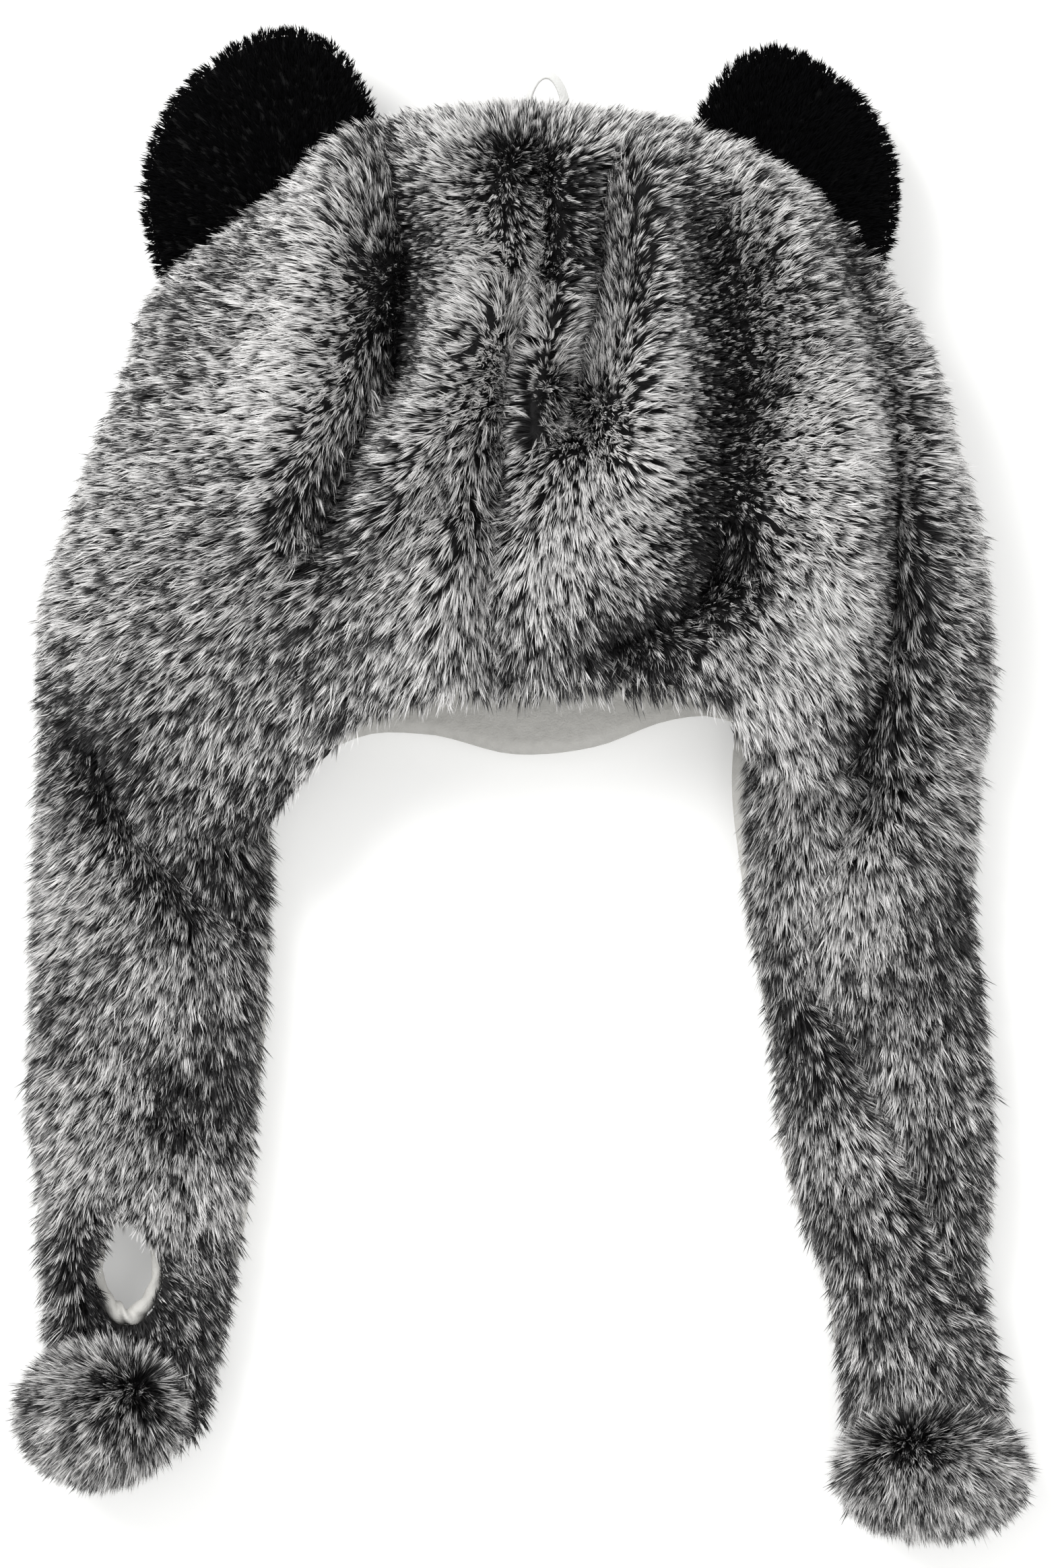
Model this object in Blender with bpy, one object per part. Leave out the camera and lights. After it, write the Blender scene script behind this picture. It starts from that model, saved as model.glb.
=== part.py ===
"""A plush animal hat lying on its back: a fur crown with a fleece lining, two ears, two long flaps, two pompoms.

Metres, +Z up. X runs across the front as it is seen, +Y towards the top of the crown, and Z = 0 is the surface that
the back of the crown lies on. The origin is the middle of the crown's flattened back.
"""

import math

import bmesh
import bpy
import numpy as np

# Crown, measured over the pile as it lies flat
CROWN_WIDTH = 0.320
CROWN_HEIGHT = 0.218
CROWN_THICKNESS = 0.082
SIDE_FOLD_HEIGHT = 0.030
FUR_WALL = 0.009
LINING_WALL = 0.0025
RIM_OFFSET = 0.108
RIM_ROUND = 0.0015
FOLD_DEPTH = 0.015
FOLD_REACH = 0.010

# Flaps: a fur strip folded lengthwise, with its fleece between the two layers
FLAP_LENGTH = 0.235
FLAP_WIDTH = 0.078
FLAP_THICKNESS = 0.030
FLAP_FOLD_HEIGHT = 0.0125
FLAP_EDGE_INSET = 0.002
FLAP_ROOT = 0.006
FLEECE_THICKNESS = 0.0035
FLEECE_MARGIN = 0.011
FLEECE_END = 0.84

# Slot near the end of the left flap, and the rolled fleece round it
SLOT_WIDTH = 0.025
SLOT_LENGTH = 0.042
SLOT_DOWN = 0.728
SLOT_ACROSS = 0.080
BINDING_RADIUS = 0.0021
BINDING_HEIGHT = 0.0185

# Ears
EAR_WIDTH = 0.0945
EAR_HEIGHT = 0.0515
EAR_THICKNESS = 0.016
EAR_LEAN = 0.28
EAR_ROOT = 0.009
EAR_ROOT_HEIGHT = 0.031
EAR_TIP_HEIGHT = 0.022

# Pompoms and hang loop
POMPOM_THICKNESS = 0.050
LEFT_POMPOM_SEAT = 0.008
LOOP_WIDTH = 0.013
LOOP_REACH = 0.0095
LOOP_ROOT = 0.005
LOOP_ACROSS = 0.0105
TAPE_WIDTH = 0.0032
TAPE_THICKNESS = 0.0012

# Shapes: the powers of the rounded profiles, and how soon folds, flat backs and the hem reach their full size
CROWN_OUTLINE = 2.4
CROWN_ACROSS = 2.3
CROWN_UP = 2.6
FLAP_ACROSS = 2.4
EAR_ACROSS = 2.2
EAR_UP = 2.6
FOLD_FADE = 1.6
BACK_FLATNESS = 1.5
LOCK_FADE = 6
HEM_BUNCH = 0.45
HEM_RIPPLE = 0.08
HEM_RISE = 0.35
LOOP_TURN = 75

# Depth of the gaps between the pile's locks, and clearances
CROWN_LOCKS = 0.0032
FLAP_LOCKS = 0.0026
EAR_LOCKS = 0.0010
POMPOM_LOCKS = 0.0045
SEAM_GAP = 0.0005
RIM_GAP = 0.001
LINING_GAP = 0.0004
WELD = 0.00001

# Grid of each surface
FRONT_COLUMNS = 40
BACK_COLUMNS = 12
CROWN_ROWS = 24
HOLLOW_ROWS = 12
FLAP_COLUMNS = 20
FLAP_ROWS = 21
FLEECE_ROWS = 13
EAR_COLUMNS = 20
EAR_ROWS = 9
POMPOM_COLUMNS = 21
POMPOM_ROWS = 11
BINDING_POINTS = 24
LOOP_POINTS = 13

HALF_WIDTH = CROWN_WIDTH / 2
RIM_Y = -RIM_OFFSET
TOP_Y = CROWN_HEIGHT + RIM_Y
LOFT = CROWN_THICKNESS - SIDE_FOLD_HEIGHT

# Crown sections. up: share of the crown's height. left, right: half width against the round outline.
# loft: thickness of the front above the side fold. side: height of the side fold.
CROWN_SECTIONS = (
    # up, left, right, loft, side
    (0.00, 1.003, 0.985, 0.70, 0.45),
    (0.12, 1.008, 1.005, 0.83, 0.66),
    (0.24, 1.008, 1.010, 0.94, 0.85),
    (0.36, 0.980, 1.013, 0.98, 0.97),
    (0.48, 0.955, 1.006, 1.00, 1.00),
    (0.60, 0.945, 1.028, 1.00, 1.00),
    (0.72, 0.980, 1.036, 1.02, 1.00),
    (0.80, 0.925, 1.042, 1.03, 1.00),
    (0.88, 0.851, 1.080, 1.03, 1.00),
    (0.94, 0.935, 1.105, 1.00, 1.00),
    (1.00, 1.150, 1.250, 1.00, 1.00),
)

# The rim from left to right in half widths. front, back: how far it hangs below the rim line, in crown heights.
# Front and back are sewn to a flap where they are equal, and are the two lips of the mouth where they are not.
RIM_LINE = (
    # across, front, back
    (-1.00, 0.000, 0.000),
    (-0.90, 0.012, 0.012),
    (-0.79, 0.058, 0.058),
    (-0.66, 0.112, 0.112),
    (-0.56, 0.120, 0.120),
    (-0.50, 0.096, 0.096),
    (-0.44, 0.040, 0.040),
    (-0.34, -0.014, -0.014),
    (-0.19, -0.052, -0.024),
    (0.00, -0.062, 0.007),
    (0.17, -0.062, -0.005),
    (0.33, -0.060, -0.046),
    (0.41, -0.052, -0.048),
    (0.48, -0.020, -0.020),
    (0.56, 0.028, 0.028),
    (0.65, 0.046, 0.046),
    (0.76, 0.026, 0.026),
    (0.88, 0.006, 0.006),
    (1.00, 0.008, 0.008),
)

# Folds of the crown's front. Each runs through three points, x in half widths and y in crown heights from the
# origin. sink is in fold depths, less than nothing for a ridge, and reach, how far it spreads, in fold reaches.
CROWN_FOLDS = (
    # x1, y1, x2, y2, x3, y3, sink, reach
    (0.035, 0.46, 0.05, 0.33, 0.04, 0.20, 0.50, 0.80),
    (0.030, 0.20, 0.00, 0.05, -0.03, -0.10, 0.75, 0.80),
    (-0.030, -0.10, -0.055, -0.25, -0.03, -0.42, 0.50, 0.80),
    (-0.270, 0.45, -0.215, 0.25, -0.24, 0.08, 1.00, 1.10),
    (-0.240, 0.08, -0.33, -0.04, -0.40, -0.15, 0.90, 1.00),
    (-0.360, 0.42, -0.42, 0.15, -0.48, -0.14, -0.45, 1.40),
    (0.000, 0.20, -0.13, 0.09, -0.25, -0.12, -0.60, 1.10),
    (0.085, 0.20, 0.05, 0.10, 0.03, 0.00, -0.45, 0.60),
    (0.190, 0.36, 0.17, 0.20, 0.10, 0.02, 1.00, 0.95),
    (0.260, 0.38, 0.28, 0.20, 0.24, -0.05, -0.50, 1.00),
    (0.395, 0.30, 0.44, 0.08, 0.41, -0.20, 0.90, 1.70),
    (0.415, -0.20, 0.36, -0.28, 0.20, -0.32, 0.85, 0.90),
    (0.500, 0.40, 0.67, 0.12, 0.68, -0.24, -0.55, 1.30),
    (0.660, 0.33, 0.765, 0.02, 0.775, -0.28, 0.90, 0.80),
    (0.775, -0.28, 0.75, -0.42, 0.69, -0.52, 0.75, 0.85),
    (-0.140, -0.18, -0.16, -0.28, -0.15, -0.38, -0.30, 1.00),
    (-0.950, -0.38, -0.82, -0.56, -0.60, -0.65, 0.60, 0.90),
)

# Flaps down their length. drift: how far the middle moves outwards, in flap widths. width, thickness: shares.
# fleece: how far the fleece shows past the inner edge, in shares of the flap's width.
LEFT_FLAP = (
    # down, drift, width, thickness, fleece
    (0.00, 0.000, 0.960, 1.22, 0.006),
    (0.19, 0.020, 1.010, 1.12, 0.006),
    (0.37, 0.039, 0.987, 1.02, 0.006),
    (0.51, 0.065, 0.975, 1.00, 0.006),
    (0.63, 0.062, 0.883, 0.96, 0.006),
    (0.755, 0.088, 0.810, 0.92, 0.006),
    (0.88, 0.094, 0.680, 0.84, 0.006),
    (0.95, 0.060, 0.540, 0.70, 0.006),
    (1.00, 0.030, 0.340, 0.50, 0.006),
)
RIGHT_FLAP = (
    # down, drift, width, thickness, fleece
    (0.00, 0.000, 1.000, 1.22, 0.042),
    (0.13, -0.013, 0.995, 1.16, 0.042),
    (0.24, -0.009, 0.958, 1.08, 0.020),
    (0.32, 0.032, 0.940, 1.02, 0.006),
    (0.43, 0.081, 0.923, 1.00, 0.006),
    (0.545, 0.111, 0.914, 1.00, 0.006),
    (0.665, 0.150, 0.785, 0.98, 0.006),
    (0.735, 0.178, 0.680, 0.96, 0.006),
    (0.82, 0.215, 0.665, 0.94, 0.006),
    (0.92, 0.264, 0.712, 0.90, 0.006),
    (1.00, 0.290, 0.660, 0.84, 0.006),
)

# Creases of the flaps. down in shares of the length, across from -1 at the inner edge to 1 at the outer edge,
# sink and reach as for the crown's folds.
LEFT_CREASES = (
    # down1, across1, down2, across2, down3, across3, sink, reach
    (0.00, 0.60, 0.08, 0.10, 0.15, -0.75, 0.50, 0.90),
    (0.30, 0.70, 0.40, 0.10, 0.46, -0.60, 0.20, 1.10),
)
RIGHT_CREASES = (
    # down1, across1, down2, across2, down3, across3, sink, reach
    (0.00, 0.05, 0.03, 0.05, 0.06, 0.00, 0.55, 1.20),
    (0.06, -0.10, 0.18, -0.40, 0.32, -0.70, 0.30, 0.90),
    (0.34, -0.50, 0.55, 0.05, 0.76, 0.66, 0.50, 0.85),
)

# Pompoms against the end of their flap. outwards, up: in shares of the pompom's own width and length.
POMPOMS = {
    # side: (outwards, up, width, length)
    "left": (0.248, 0.275, 0.0610, 0.0536),
    "right": (0.000, -0.114, 0.0713, 0.0493),
}

# Ears. across: middle of the base in half widths, up: in crown heights from the origin, turn: of the base, degrees.
EARS = {
    # side: (across, up, turn, size, lean)
    "left": (-0.516, 0.358, 35.7, 0.97, 1.00),
    "right": (0.568, 0.358, -38.5, 0.855, -1.00),
}

FINISHES = {
    # name: (red, green, blue, roughness)
    "silver_fur": (0.40, 0.39, 0.38, 0.85),
    "black_plush": (0.012, 0.012, 0.013, 0.90),
    "fleece": (0.78, 0.76, 0.71, 0.95),
    "tape": (0.85, 0.85, 0.83, 0.60),
}


def clear_scene():
    for item in list(bpy.data.objects):
        bpy.data.objects.remove(item, do_unlink=True)


def collection(name):
    group = bpy.data.collections.new(name)
    bpy.context.scene.collection.children.link(group)
    return group


def finish(name):
    red, green, blue, roughness = FINISHES[name]
    material = bpy.data.materials.new(name)
    material.use_nodes = True
    shader = material.node_tree.nodes["Principled BSDF"]
    shader.inputs["Base Color"].default_value = (red, green, blue, 1.0)
    shader.inputs["Roughness"].default_value = roughness
    shader.inputs["Metallic"].default_value = 0.0
    return material


def through(table, column, at):
    """A smooth curve through one column of a table, whose first column says where each row lies."""
    rows = np.array(table)
    where, value = rows[:, 0], rows[:, column]
    slope = np.gradient(value, where)
    at = np.clip(at, where[0], where[-1])
    row = np.clip(np.searchsorted(where, at) - 1, 0, len(where) - 2)
    span = where[row + 1] - where[row]
    t = (at - where[row]) / span
    start = (1 + 2 * t) * (1 - t) ** 2 * value[row] + t * (1 - t) ** 2 * span * slope[row]
    end = t**2 * (3 - 2 * t) * value[row + 1] - t**2 * (1 - t) * span * slope[row + 1]
    return start + end


def rounded(share, power):
    """1 in the middle, falling to 0 at a share of 1 either way along a superellipse."""
    return np.maximum(1 - np.abs(share) ** power, 0) ** (1 / power)


def eased(t, power):
    """0 to 1 in near-even steps that close up towards 1, and the same with minus signs below 0."""
    return (power * t - t * np.abs(t) ** (power - 1)) / (power - 1)


def fold_sink(x, y, lines):
    """How far a set of folds sinks a surface. Each line is three points, a sink and a reach, all in metres."""
    total = np.zeros(np.broadcast(x, y).shape)
    for x1, y1, x2, y2, x3, y3, sink, reach in lines:
        nearest = np.full(total.shape, np.inf)
        for ax, ay, bx, by in ((x1, y1, x2, y2), (x2, y2, x3, y3)):
            length = (bx - ax) ** 2 + (by - ay) ** 2
            t = np.clip(((x - ax) * (bx - ax) + (y - ay) * (by - ay)) / length, 0, 1)
            nearest = np.minimum(nearest, np.hypot(x - ax - t * (bx - ax), y - ay - t * (by - ay)))
        total += sink * np.exp(-((nearest / reach) ** 2))
    return total


def sunk(rings, depth):
    """Rings of points moved inwards by a depth along the surface's normal."""
    along = np.gradient(rings, axis=0)
    beside = (np.roll(rings, -1, axis=1) - np.roll(rings, 1, axis=1)) / 2
    normal = np.cross(along, beside)
    normal /= np.maximum(np.linalg.norm(normal, axis=2, keepdims=True), WELD**2)
    from_middle = rings - rings.mean(axis=1, keepdims=True)
    outward = np.sign(np.sum(normal * from_middle))
    return rings - outward * normal * np.broadcast_to(depth, rings.shape[:2])[:, :, None]


def sunk_locks(rings, depth, weight):
    """The pile's locks: a surface sunk in staggered rising steps, like scales."""
    row, column = np.indices(rings.shape[:2])
    step = ((row + 1.5 * (column % 2) + 0.37 * (column // 2)) % 3) / 3
    return sunk(rings, depth * step * weight)


def lofted(name, rings, material, group, ends="pad", turned=0):
    """One closed body through rings of equal counts, the first ones, as many as turned says, in reverse order.

    ends is two points that they close to, or "pad" for rings that start at one edge and close in strips from the
    upper to the lower side, or "sheet" for rings of four corners. Surfaces that lie in each other are split into
    triangles alike, so that their gap stays even.
    """
    rows, count = rings.shape[:2]
    grid = np.arange(rows * count).reshape(rows, count)
    after = np.roll(grid, -1, axis=1)
    near, near_next, far, far_next = grid[:-1], after[:-1], grid[1:], after[1:]
    forward = np.stack([near, near_next, far_next, near, far_next, far], axis=-1)
    backward = np.stack([near, near_next, far, near_next, far_next, far], axis=-1)
    reverse = (np.arange(rows - 1) < turned - 1)[:, None, None]
    faces = np.where(reverse, backward, forward).reshape(-1, 3).tolist()
    points = rings.reshape(-1, 3)
    if ends == "sheet":
        faces += [grid[0].tolist(), grid[-1].tolist()]
    elif ends == "pad":
        for ring in (grid[0], grid[-1]):
            for i in range(count // 2):
                corners = [ring[i], ring[i + 1], ring[count - i - 1], ring[(count - i) % count]]
                faces.append([int(corner) for corner in dict.fromkeys(corners)])
    else:
        points = np.vstack([points, ends])
        for pole, ring, following in ((rows * count, grid[0], after[0]), (rows * count + 1, grid[-1], after[-1])):
            faces += [[pole, int(a), int(b)] for a, b in zip(ring, following)]
    mesh = bpy.data.meshes.new(name)
    mesh.from_pydata(points.tolist(), [], faces)
    weld(mesh)
    return placed(name, mesh, material, group)


def weld(mesh):
    """Joins points that meet, and turns the faces outwards."""
    work = bmesh.new()
    work.from_mesh(mesh)
    bmesh.ops.remove_doubles(work, verts=work.verts, dist=WELD)
    bmesh.ops.recalc_face_normals(work, faces=work.faces)
    work.to_mesh(mesh)
    work.free()


def placed(name, mesh, material, group):
    piece = bpy.data.objects.new(name, mesh)
    mesh.materials.append(material)
    group.objects.link(piece)
    return piece


def as_cutter(piece):
    piece.hide_render = True
    piece.display_type = "WIRE"
    return piece


def cut(piece, cutter):
    modifier = piece.modifiers.new(f"cut_by_{cutter.name}", "BOOLEAN")
    modifier.operation = "DIFFERENCE"
    modifier.solver = "EXACT"
    modifier.object = cutter


def side_height(up):
    return SIDE_FOLD_HEIGHT * through(CROWN_SECTIONS, 4, up)


def crown_half(across, up, inset):
    """Half width of the crown at a height, on the side that across lies on, drawn in by inset."""
    share = np.where(across < 0, through(CROWN_SECTIONS, 1, up), through(CROWN_SECTIONS, 2, up))
    return (HALF_WIDTH * share - inset) * rounded(up, CROWN_OUTLINE)


def rim_height(x, front):
    """Y of the rim at x, on the front or on the back."""
    across = np.clip(x / HALF_WIDTH, -1, 1)
    return RIM_Y - CROWN_HEIGHT * np.where(front, through(RIM_LINE, 1, across), through(RIM_LINE, 2, across))


def crown_rings(across, front, rows, inset, drop):
    """Rings of the crown from its rim to its top, drawn in by inset, and the point that they close to.

    The front is a round loft less its folds, and the back is flat on the floor and turns up to the side fold.
    """
    t = np.arange(rows)[:, None] / rows
    height = CROWN_HEIGHT - inset
    rim = rim_height(across * crown_half(across, 0.0, inset), front) - drop
    y = rim + (RIM_Y + height - rim) * eased(t, 6)
    up = np.clip((y - RIM_Y) / height, 0, 1)
    x = across * crown_half(across, up, inset)
    profile = rounded(across, CROWN_ACROSS) * rounded(up, CROWN_UP)
    lines = [
        (x1 * HALF_WIDTH, y1 * CROWN_HEIGHT, x2 * HALF_WIDTH, y2 * CROWN_HEIGHT, x3 * HALF_WIDTH, y3 * CROWN_HEIGHT)
        + (sink * FOLD_DEPTH, reach * FOLD_REACH)
        for x1, y1, x2, y2, x3, y3, sink, reach in CROWN_FOLDS
    ]
    side = side_height(up)
    loft = (LOFT * through(CROWN_SECTIONS, 3, up) - inset) * profile
    top = side + loft - fold_sink(x, y, lines) * np.minimum(1, FOLD_FADE * profile)
    bottom = side + (inset - side) * np.minimum(1, BACK_FLATNESS * profile)
    rings = np.stack([x, y, np.where(front, top, bottom)], axis=-1)
    pole = (0.0, RIM_Y + height, float(side_height(1.0)))
    return rings, pole


def crown_columns(back_columns):
    """Across, and whether it is the front, for columns over the front from left to right and back underneath."""
    over = eased(np.linspace(-1, 1, FRONT_COLUMNS + 1), 5)
    under = eased(np.linspace(1, -1, back_columns + 1), 5)[1:-1]
    return np.concatenate([over, under]), np.arange(FRONT_COLUMNS + back_columns) <= FRONT_COLUMNS


def make_crown(group, cutters):
    across, front = crown_columns(BACK_COLUMNS)
    outside, top = crown_rings(across, front, CROWN_ROWS, 0.0, 0.0)
    hollow, hollow_top = crown_rings(across, front, HOLLOW_ROWS, FUR_WALL, -RIM_ROUND)
    rows = np.arange(CROWN_ROWS)[:, None] / CROWN_ROWS
    weight = np.where(front, rounded(across, LOCK_FADE), 0.0) * rounded(2 * rows - 1, LOCK_FADE)
    outside = sunk_locks(outside, CROWN_LOCKS, weight)
    shell = np.vstack([outside[::-1], hollow])
    lofted("crown", shell, finish("silver_fur"), group, (top, hollow_top), CROWN_ROWS)

    wall = FUR_WALL + LINING_GAP + LINING_WALL
    inner, inner_top = crown_rings(across, front, HOLLOW_ROWS, wall, -RIM_ROUND)
    outer_top = (hollow_top[0], hollow_top[1] - LINING_GAP, hollow_top[2])
    shell = np.vstack([sunk(hollow, LINING_GAP)[::-1], inner])
    lofted("crown_lining", shell, finish("fleece"), group, (outer_top, inner_top), HOLLOW_ROWS)

    across, front = crown_columns(FRONT_COLUMNS)
    drop = np.where(front, RIM_GAP, 2 * RIM_GAP)
    clear, clear_top = crown_rings(across, front, CROWN_ROWS, -SEAM_GAP, drop)
    clear = np.concatenate([clear, np.tile(clear_top, (1, len(across), 1))])
    return as_cutter(lofted("crown_clearance", clear, finish("silver_fur"), cutters))


def flap_middle(side, sections, down):
    """X of the flap's middle line, from the crown's edge at the rim and the flap's own width there."""
    column = 1 if side < 0 else 2
    edge = HALF_WIDTH * CROWN_SECTIONS[0][column] - FLAP_EDGE_INSET
    return side * (edge - FLAP_WIDTH * sections[0][2] / 2 + FLAP_WIDTH * through(sections, 1, down))


def flap_y(x, down, root):
    """Y of a point of the flap: the rim's line at its root, straightening towards its end."""
    rim = rim_height(x, True) + root
    return rim + (RIM_Y - FLAP_LENGTH - rim) * down


def flap_rings(side, sections, creases):
    over = eased(np.linspace(1, -1, FLAP_COLUMNS // 2 + 1), 4)
    across = np.concatenate([over, over[-2:0:-1]])
    top_side = np.arange(FLAP_COLUMNS) <= FLAP_COLUMNS // 2
    down = eased(np.arange(FLAP_ROWS + 1)[:, None] / FLAP_ROWS, 8)
    half = FLAP_WIDTH * through(sections, 2, down) / 2
    x = flap_middle(side, sections, down) + side * across * half
    y = flap_y(x, down, FLAP_ROOT)
    profile = rounded(across, FLAP_ACROSS)
    loft = (FLAP_THICKNESS * through(sections, 3, down) - FLAP_FOLD_HEIGHT) * profile
    lines = [
        (d1 * FLAP_LENGTH, a1 * FLAP_WIDTH / 2, d2 * FLAP_LENGTH, a2 * FLAP_WIDTH / 2)
        + (d3 * FLAP_LENGTH, a3 * FLAP_WIDTH / 2, sink * FOLD_DEPTH, reach * FOLD_REACH)
        for d1, a1, d2, a2, d3, a3, sink, reach in creases
    ]
    sink = fold_sink(down * FLAP_LENGTH, across * FLAP_WIDTH / 2, lines) * profile
    top = FLAP_FOLD_HEIGHT + loft - sink
    bottom = FLAP_FOLD_HEIGHT * (1 - np.minimum(1, BACK_FLATNESS * profile))
    rings = np.stack([x, y, np.where(top_side, top, bottom)], axis=-1)
    weight = np.where(top_side, rounded(across, LOCK_FADE), 0.0) * rounded(2 * down - 1, LOCK_FADE)
    return sunk_locks(rings, FLAP_LOCKS, weight)


def fleece_rings(side, sections, grow, past):
    """Rings of the fleece sheet between the flap's layers, grown by grow and run past its open edges by past."""
    down = np.linspace(0, FLEECE_END, FLEECE_ROWS)[:, None]
    half = FLAP_WIDTH * through(sections, 2, down) / 2
    inner = half + FLAP_WIDTH * through(sections, 4, down)
    outer = half - FLEECE_MARGIN + grow
    x = flap_middle(side, sections, down) + side * np.hstack([outer, -inner, -inner, outer])
    y = flap_y(x, down, FLAP_ROOT)
    x[:, 1:3] -= side * past
    y[0] += past
    y[-1] = y[-1].min() - grow
    z = FLAP_FOLD_HEIGHT + np.array([1, 1, -1, -1]) * (FLEECE_THICKNESS / 2 + grow)
    return np.stack([x, y, np.broadcast_to(z, x.shape)], axis=-1)


def make_flap(label, side, sections, creases, crown_cutter, group, cutters):
    flap = lofted(f"flap_{label}", flap_rings(side, sections, creases), finish("silver_fur"), group)
    fleece = lofted(f"flap_lining_{label}", fleece_rings(side, sections, 0.0, 0.0), finish("fleece"), group, "sheet")
    room = fleece_rings(side, sections, LINING_GAP, FLEECE_MARGIN)
    if side < 0:
        slot = make_slot(group, cutters)
        cut(flap, slot)
        cut(fleece, slot)
    cut(flap, crown_cutter)
    cut(fleece, crown_cutter)
    cut(flap, as_cutter(lofted(f"fleece_room_{label}", room, finish("fleece"), cutters, "sheet")))
    return flap


def slot_centre():
    half = FLAP_WIDTH * float(through(LEFT_FLAP, 2, SLOT_DOWN)) / 2
    x = float(flap_middle(-1, LEFT_FLAP, SLOT_DOWN)) - SLOT_ACROSS * half
    return x, RIM_Y - FLAP_LENGTH * SLOT_DOWN


def make_slot(group, cutters):
    """The room of the slot through the left flap, and the rolled fleece in it, thicker where it bunches below."""
    x, y = slot_centre()
    mesh = bpy.data.meshes.new("slot")
    work = bmesh.new()
    bmesh.ops.create_cone(
        work, cap_ends=True, segments=32, radius1=SLOT_LENGTH / 2, radius2=SLOT_LENGTH / 2, depth=4 * FLAP_THICKNESS
    )
    bmesh.ops.scale(work, vec=(SLOT_WIDTH / SLOT_LENGTH, 1.0, 1.0), verts=work.verts)
    bmesh.ops.translate(work, vec=(x, y, FLAP_FOLD_HEIGHT), verts=work.verts)
    work.to_mesh(mesh)
    work.free()
    slot = as_cutter(placed("slot", mesh, finish("fleece"), cutters))

    curve = bpy.data.curves.new("slot_binding", "CURVE")
    curve.dimensions = "3D"
    curve.bevel_depth = BINDING_RADIUS
    curve.bevel_resolution = 2
    line = curve.splines.new("POLY")
    line.points.add(BINDING_POINTS - 1)
    for i, point in enumerate(line.points):
        angle = 2 * math.pi * i / BINDING_POINTS
        bunch = 1 + HEM_BUNCH * max(0.0, -math.sin(angle)) ** 2 + HEM_RIPPLE * math.sin(5 * angle)
        away = BINDING_RADIUS * bunch + LINING_GAP
        reach_x = (SLOT_WIDTH / 2 - away) * math.cos(angle)
        reach_y = (SLOT_LENGTH / 2 - away) * math.sin(angle)
        rise = HEM_RISE * BINDING_RADIUS * math.sin(3 * angle)
        point.co = (x + reach_x, y + reach_y, BINDING_HEIGHT + rise, 1.0)
        point.radius = bunch
    line.use_cyclic_u = True
    curve.materials.append(finish("fleece"))
    group.objects.link(bpy.data.objects.new("slot_binding", curve))
    return slot


def ear_rings(size, lean):
    """Rings of an ear from below its base to its tip: a flat pad, round at the tip, that leans to one side."""
    over = eased(np.linspace(1, -1, EAR_COLUMNS // 2 + 1), 4)
    across = np.concatenate([over, over[-2:0:-1]])
    top_side = np.arange(EAR_COLUMNS) <= EAR_COLUMNS // 2
    share = np.concatenate([[-EAR_ROOT / (EAR_HEIGHT * size)], eased(np.arange(EAR_ROWS) / EAR_ROWS, 3)])[:, None]
    rise = np.maximum(share, 0)
    taper = (1 - rise**EAR_UP) ** (1 / EAR_ACROSS)
    x = size * (EAR_LEAN * lean * EAR_HEIGHT * rise + across * taper * EAR_WIDTH / 2)
    y = np.broadcast_to(size * EAR_HEIGHT * share, x.shape)
    half = EAR_THICKNESS / 2 * rounded(across, EAR_ACROSS) * (1 - rise**3) ** 0.5
    middle = EAR_ROOT_HEIGHT + (EAR_TIP_HEIGHT - EAR_ROOT_HEIGHT) * rise
    z = middle + np.where(top_side, half, -half)
    rings = np.stack([x, y, z], axis=-1)
    return sunk_locks(rings, EAR_LOCKS, np.where(top_side, rounded(across, LOCK_FADE), 0.0) * np.minimum(1, 4 * rise))


def make_ear(label, crown_cutter, group):
    across, up, turn, size, lean = EARS[label]
    ear = lofted(f"ear_{label}", ear_rings(size, lean), finish("black_plush"), group)
    turned = math.radians(turn)
    spin = np.array([[math.cos(turned), math.sin(turned)], [-math.sin(turned), math.cos(turned)]])
    for point in ear.data.vertices:
        flat = np.array(point.co[:2]) @ spin
        point.co = (flat[0] + across * HALF_WIDTH, flat[1] + up * CROWN_HEIGHT, point.co[2])
    cut(ear, crown_cutter)


def pompom_place(label, side, sections):
    outwards, up, width, length = POMPOMS[label]
    x = float(flap_middle(side, sections, 1.0)) + side * outwards * width
    y = RIM_Y - FLAP_LENGTH + up * length
    z = POMPOM_THICKNESS / 2 + (LEFT_POMPOM_SEAT if label == "left" else 0.0)
    return (x, y, z), (width / 2, length / 2, POMPOM_THICKNESS / 2)


def ball(name, place, radii, grow, locks, material, group):
    """A pompom's body, or the room for it. Its locks are every other point round it, sunk in turn."""
    mesh = bpy.data.meshes.new(name)
    work = bmesh.new()
    bmesh.ops.create_uvsphere(work, u_segments=POMPOM_COLUMNS, v_segments=POMPOM_ROWS, radius=1.0)
    for vertex in work.verts:
        turn = math.atan2(vertex.co.y, vertex.co.x) / (2 * math.pi) * POMPOM_COLUMNS
        level = math.acos(max(-1.0, min(1.0, vertex.co.z))) / math.pi * POMPOM_ROWS
        sink = locks * ((5 * round(turn) + 3 * round(level) + round(turn) * round(level)) % 7) / 6
        vertex.co = [
            centre + (radius + grow - sink) * part for centre, radius, part in zip(place, radii, vertex.co)
        ]
        vertex.co.z = max(vertex.co.z, -grow)
    work.to_mesh(mesh)
    work.free()
    return placed(name, mesh, material, group)


def make_pompom(label, side, sections, flap, group, cutters):
    place, radii = pompom_place(label, side, sections)
    ball(f"pompom_{label}", place, radii, 0.0, POMPOM_LOCKS, finish("silver_fur"), group)
    cut(flap, as_cutter(ball(f"pompom_room_{label}", place, radii, SEAM_GAP, 0.0, finish("silver_fur"), cutters)))


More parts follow.
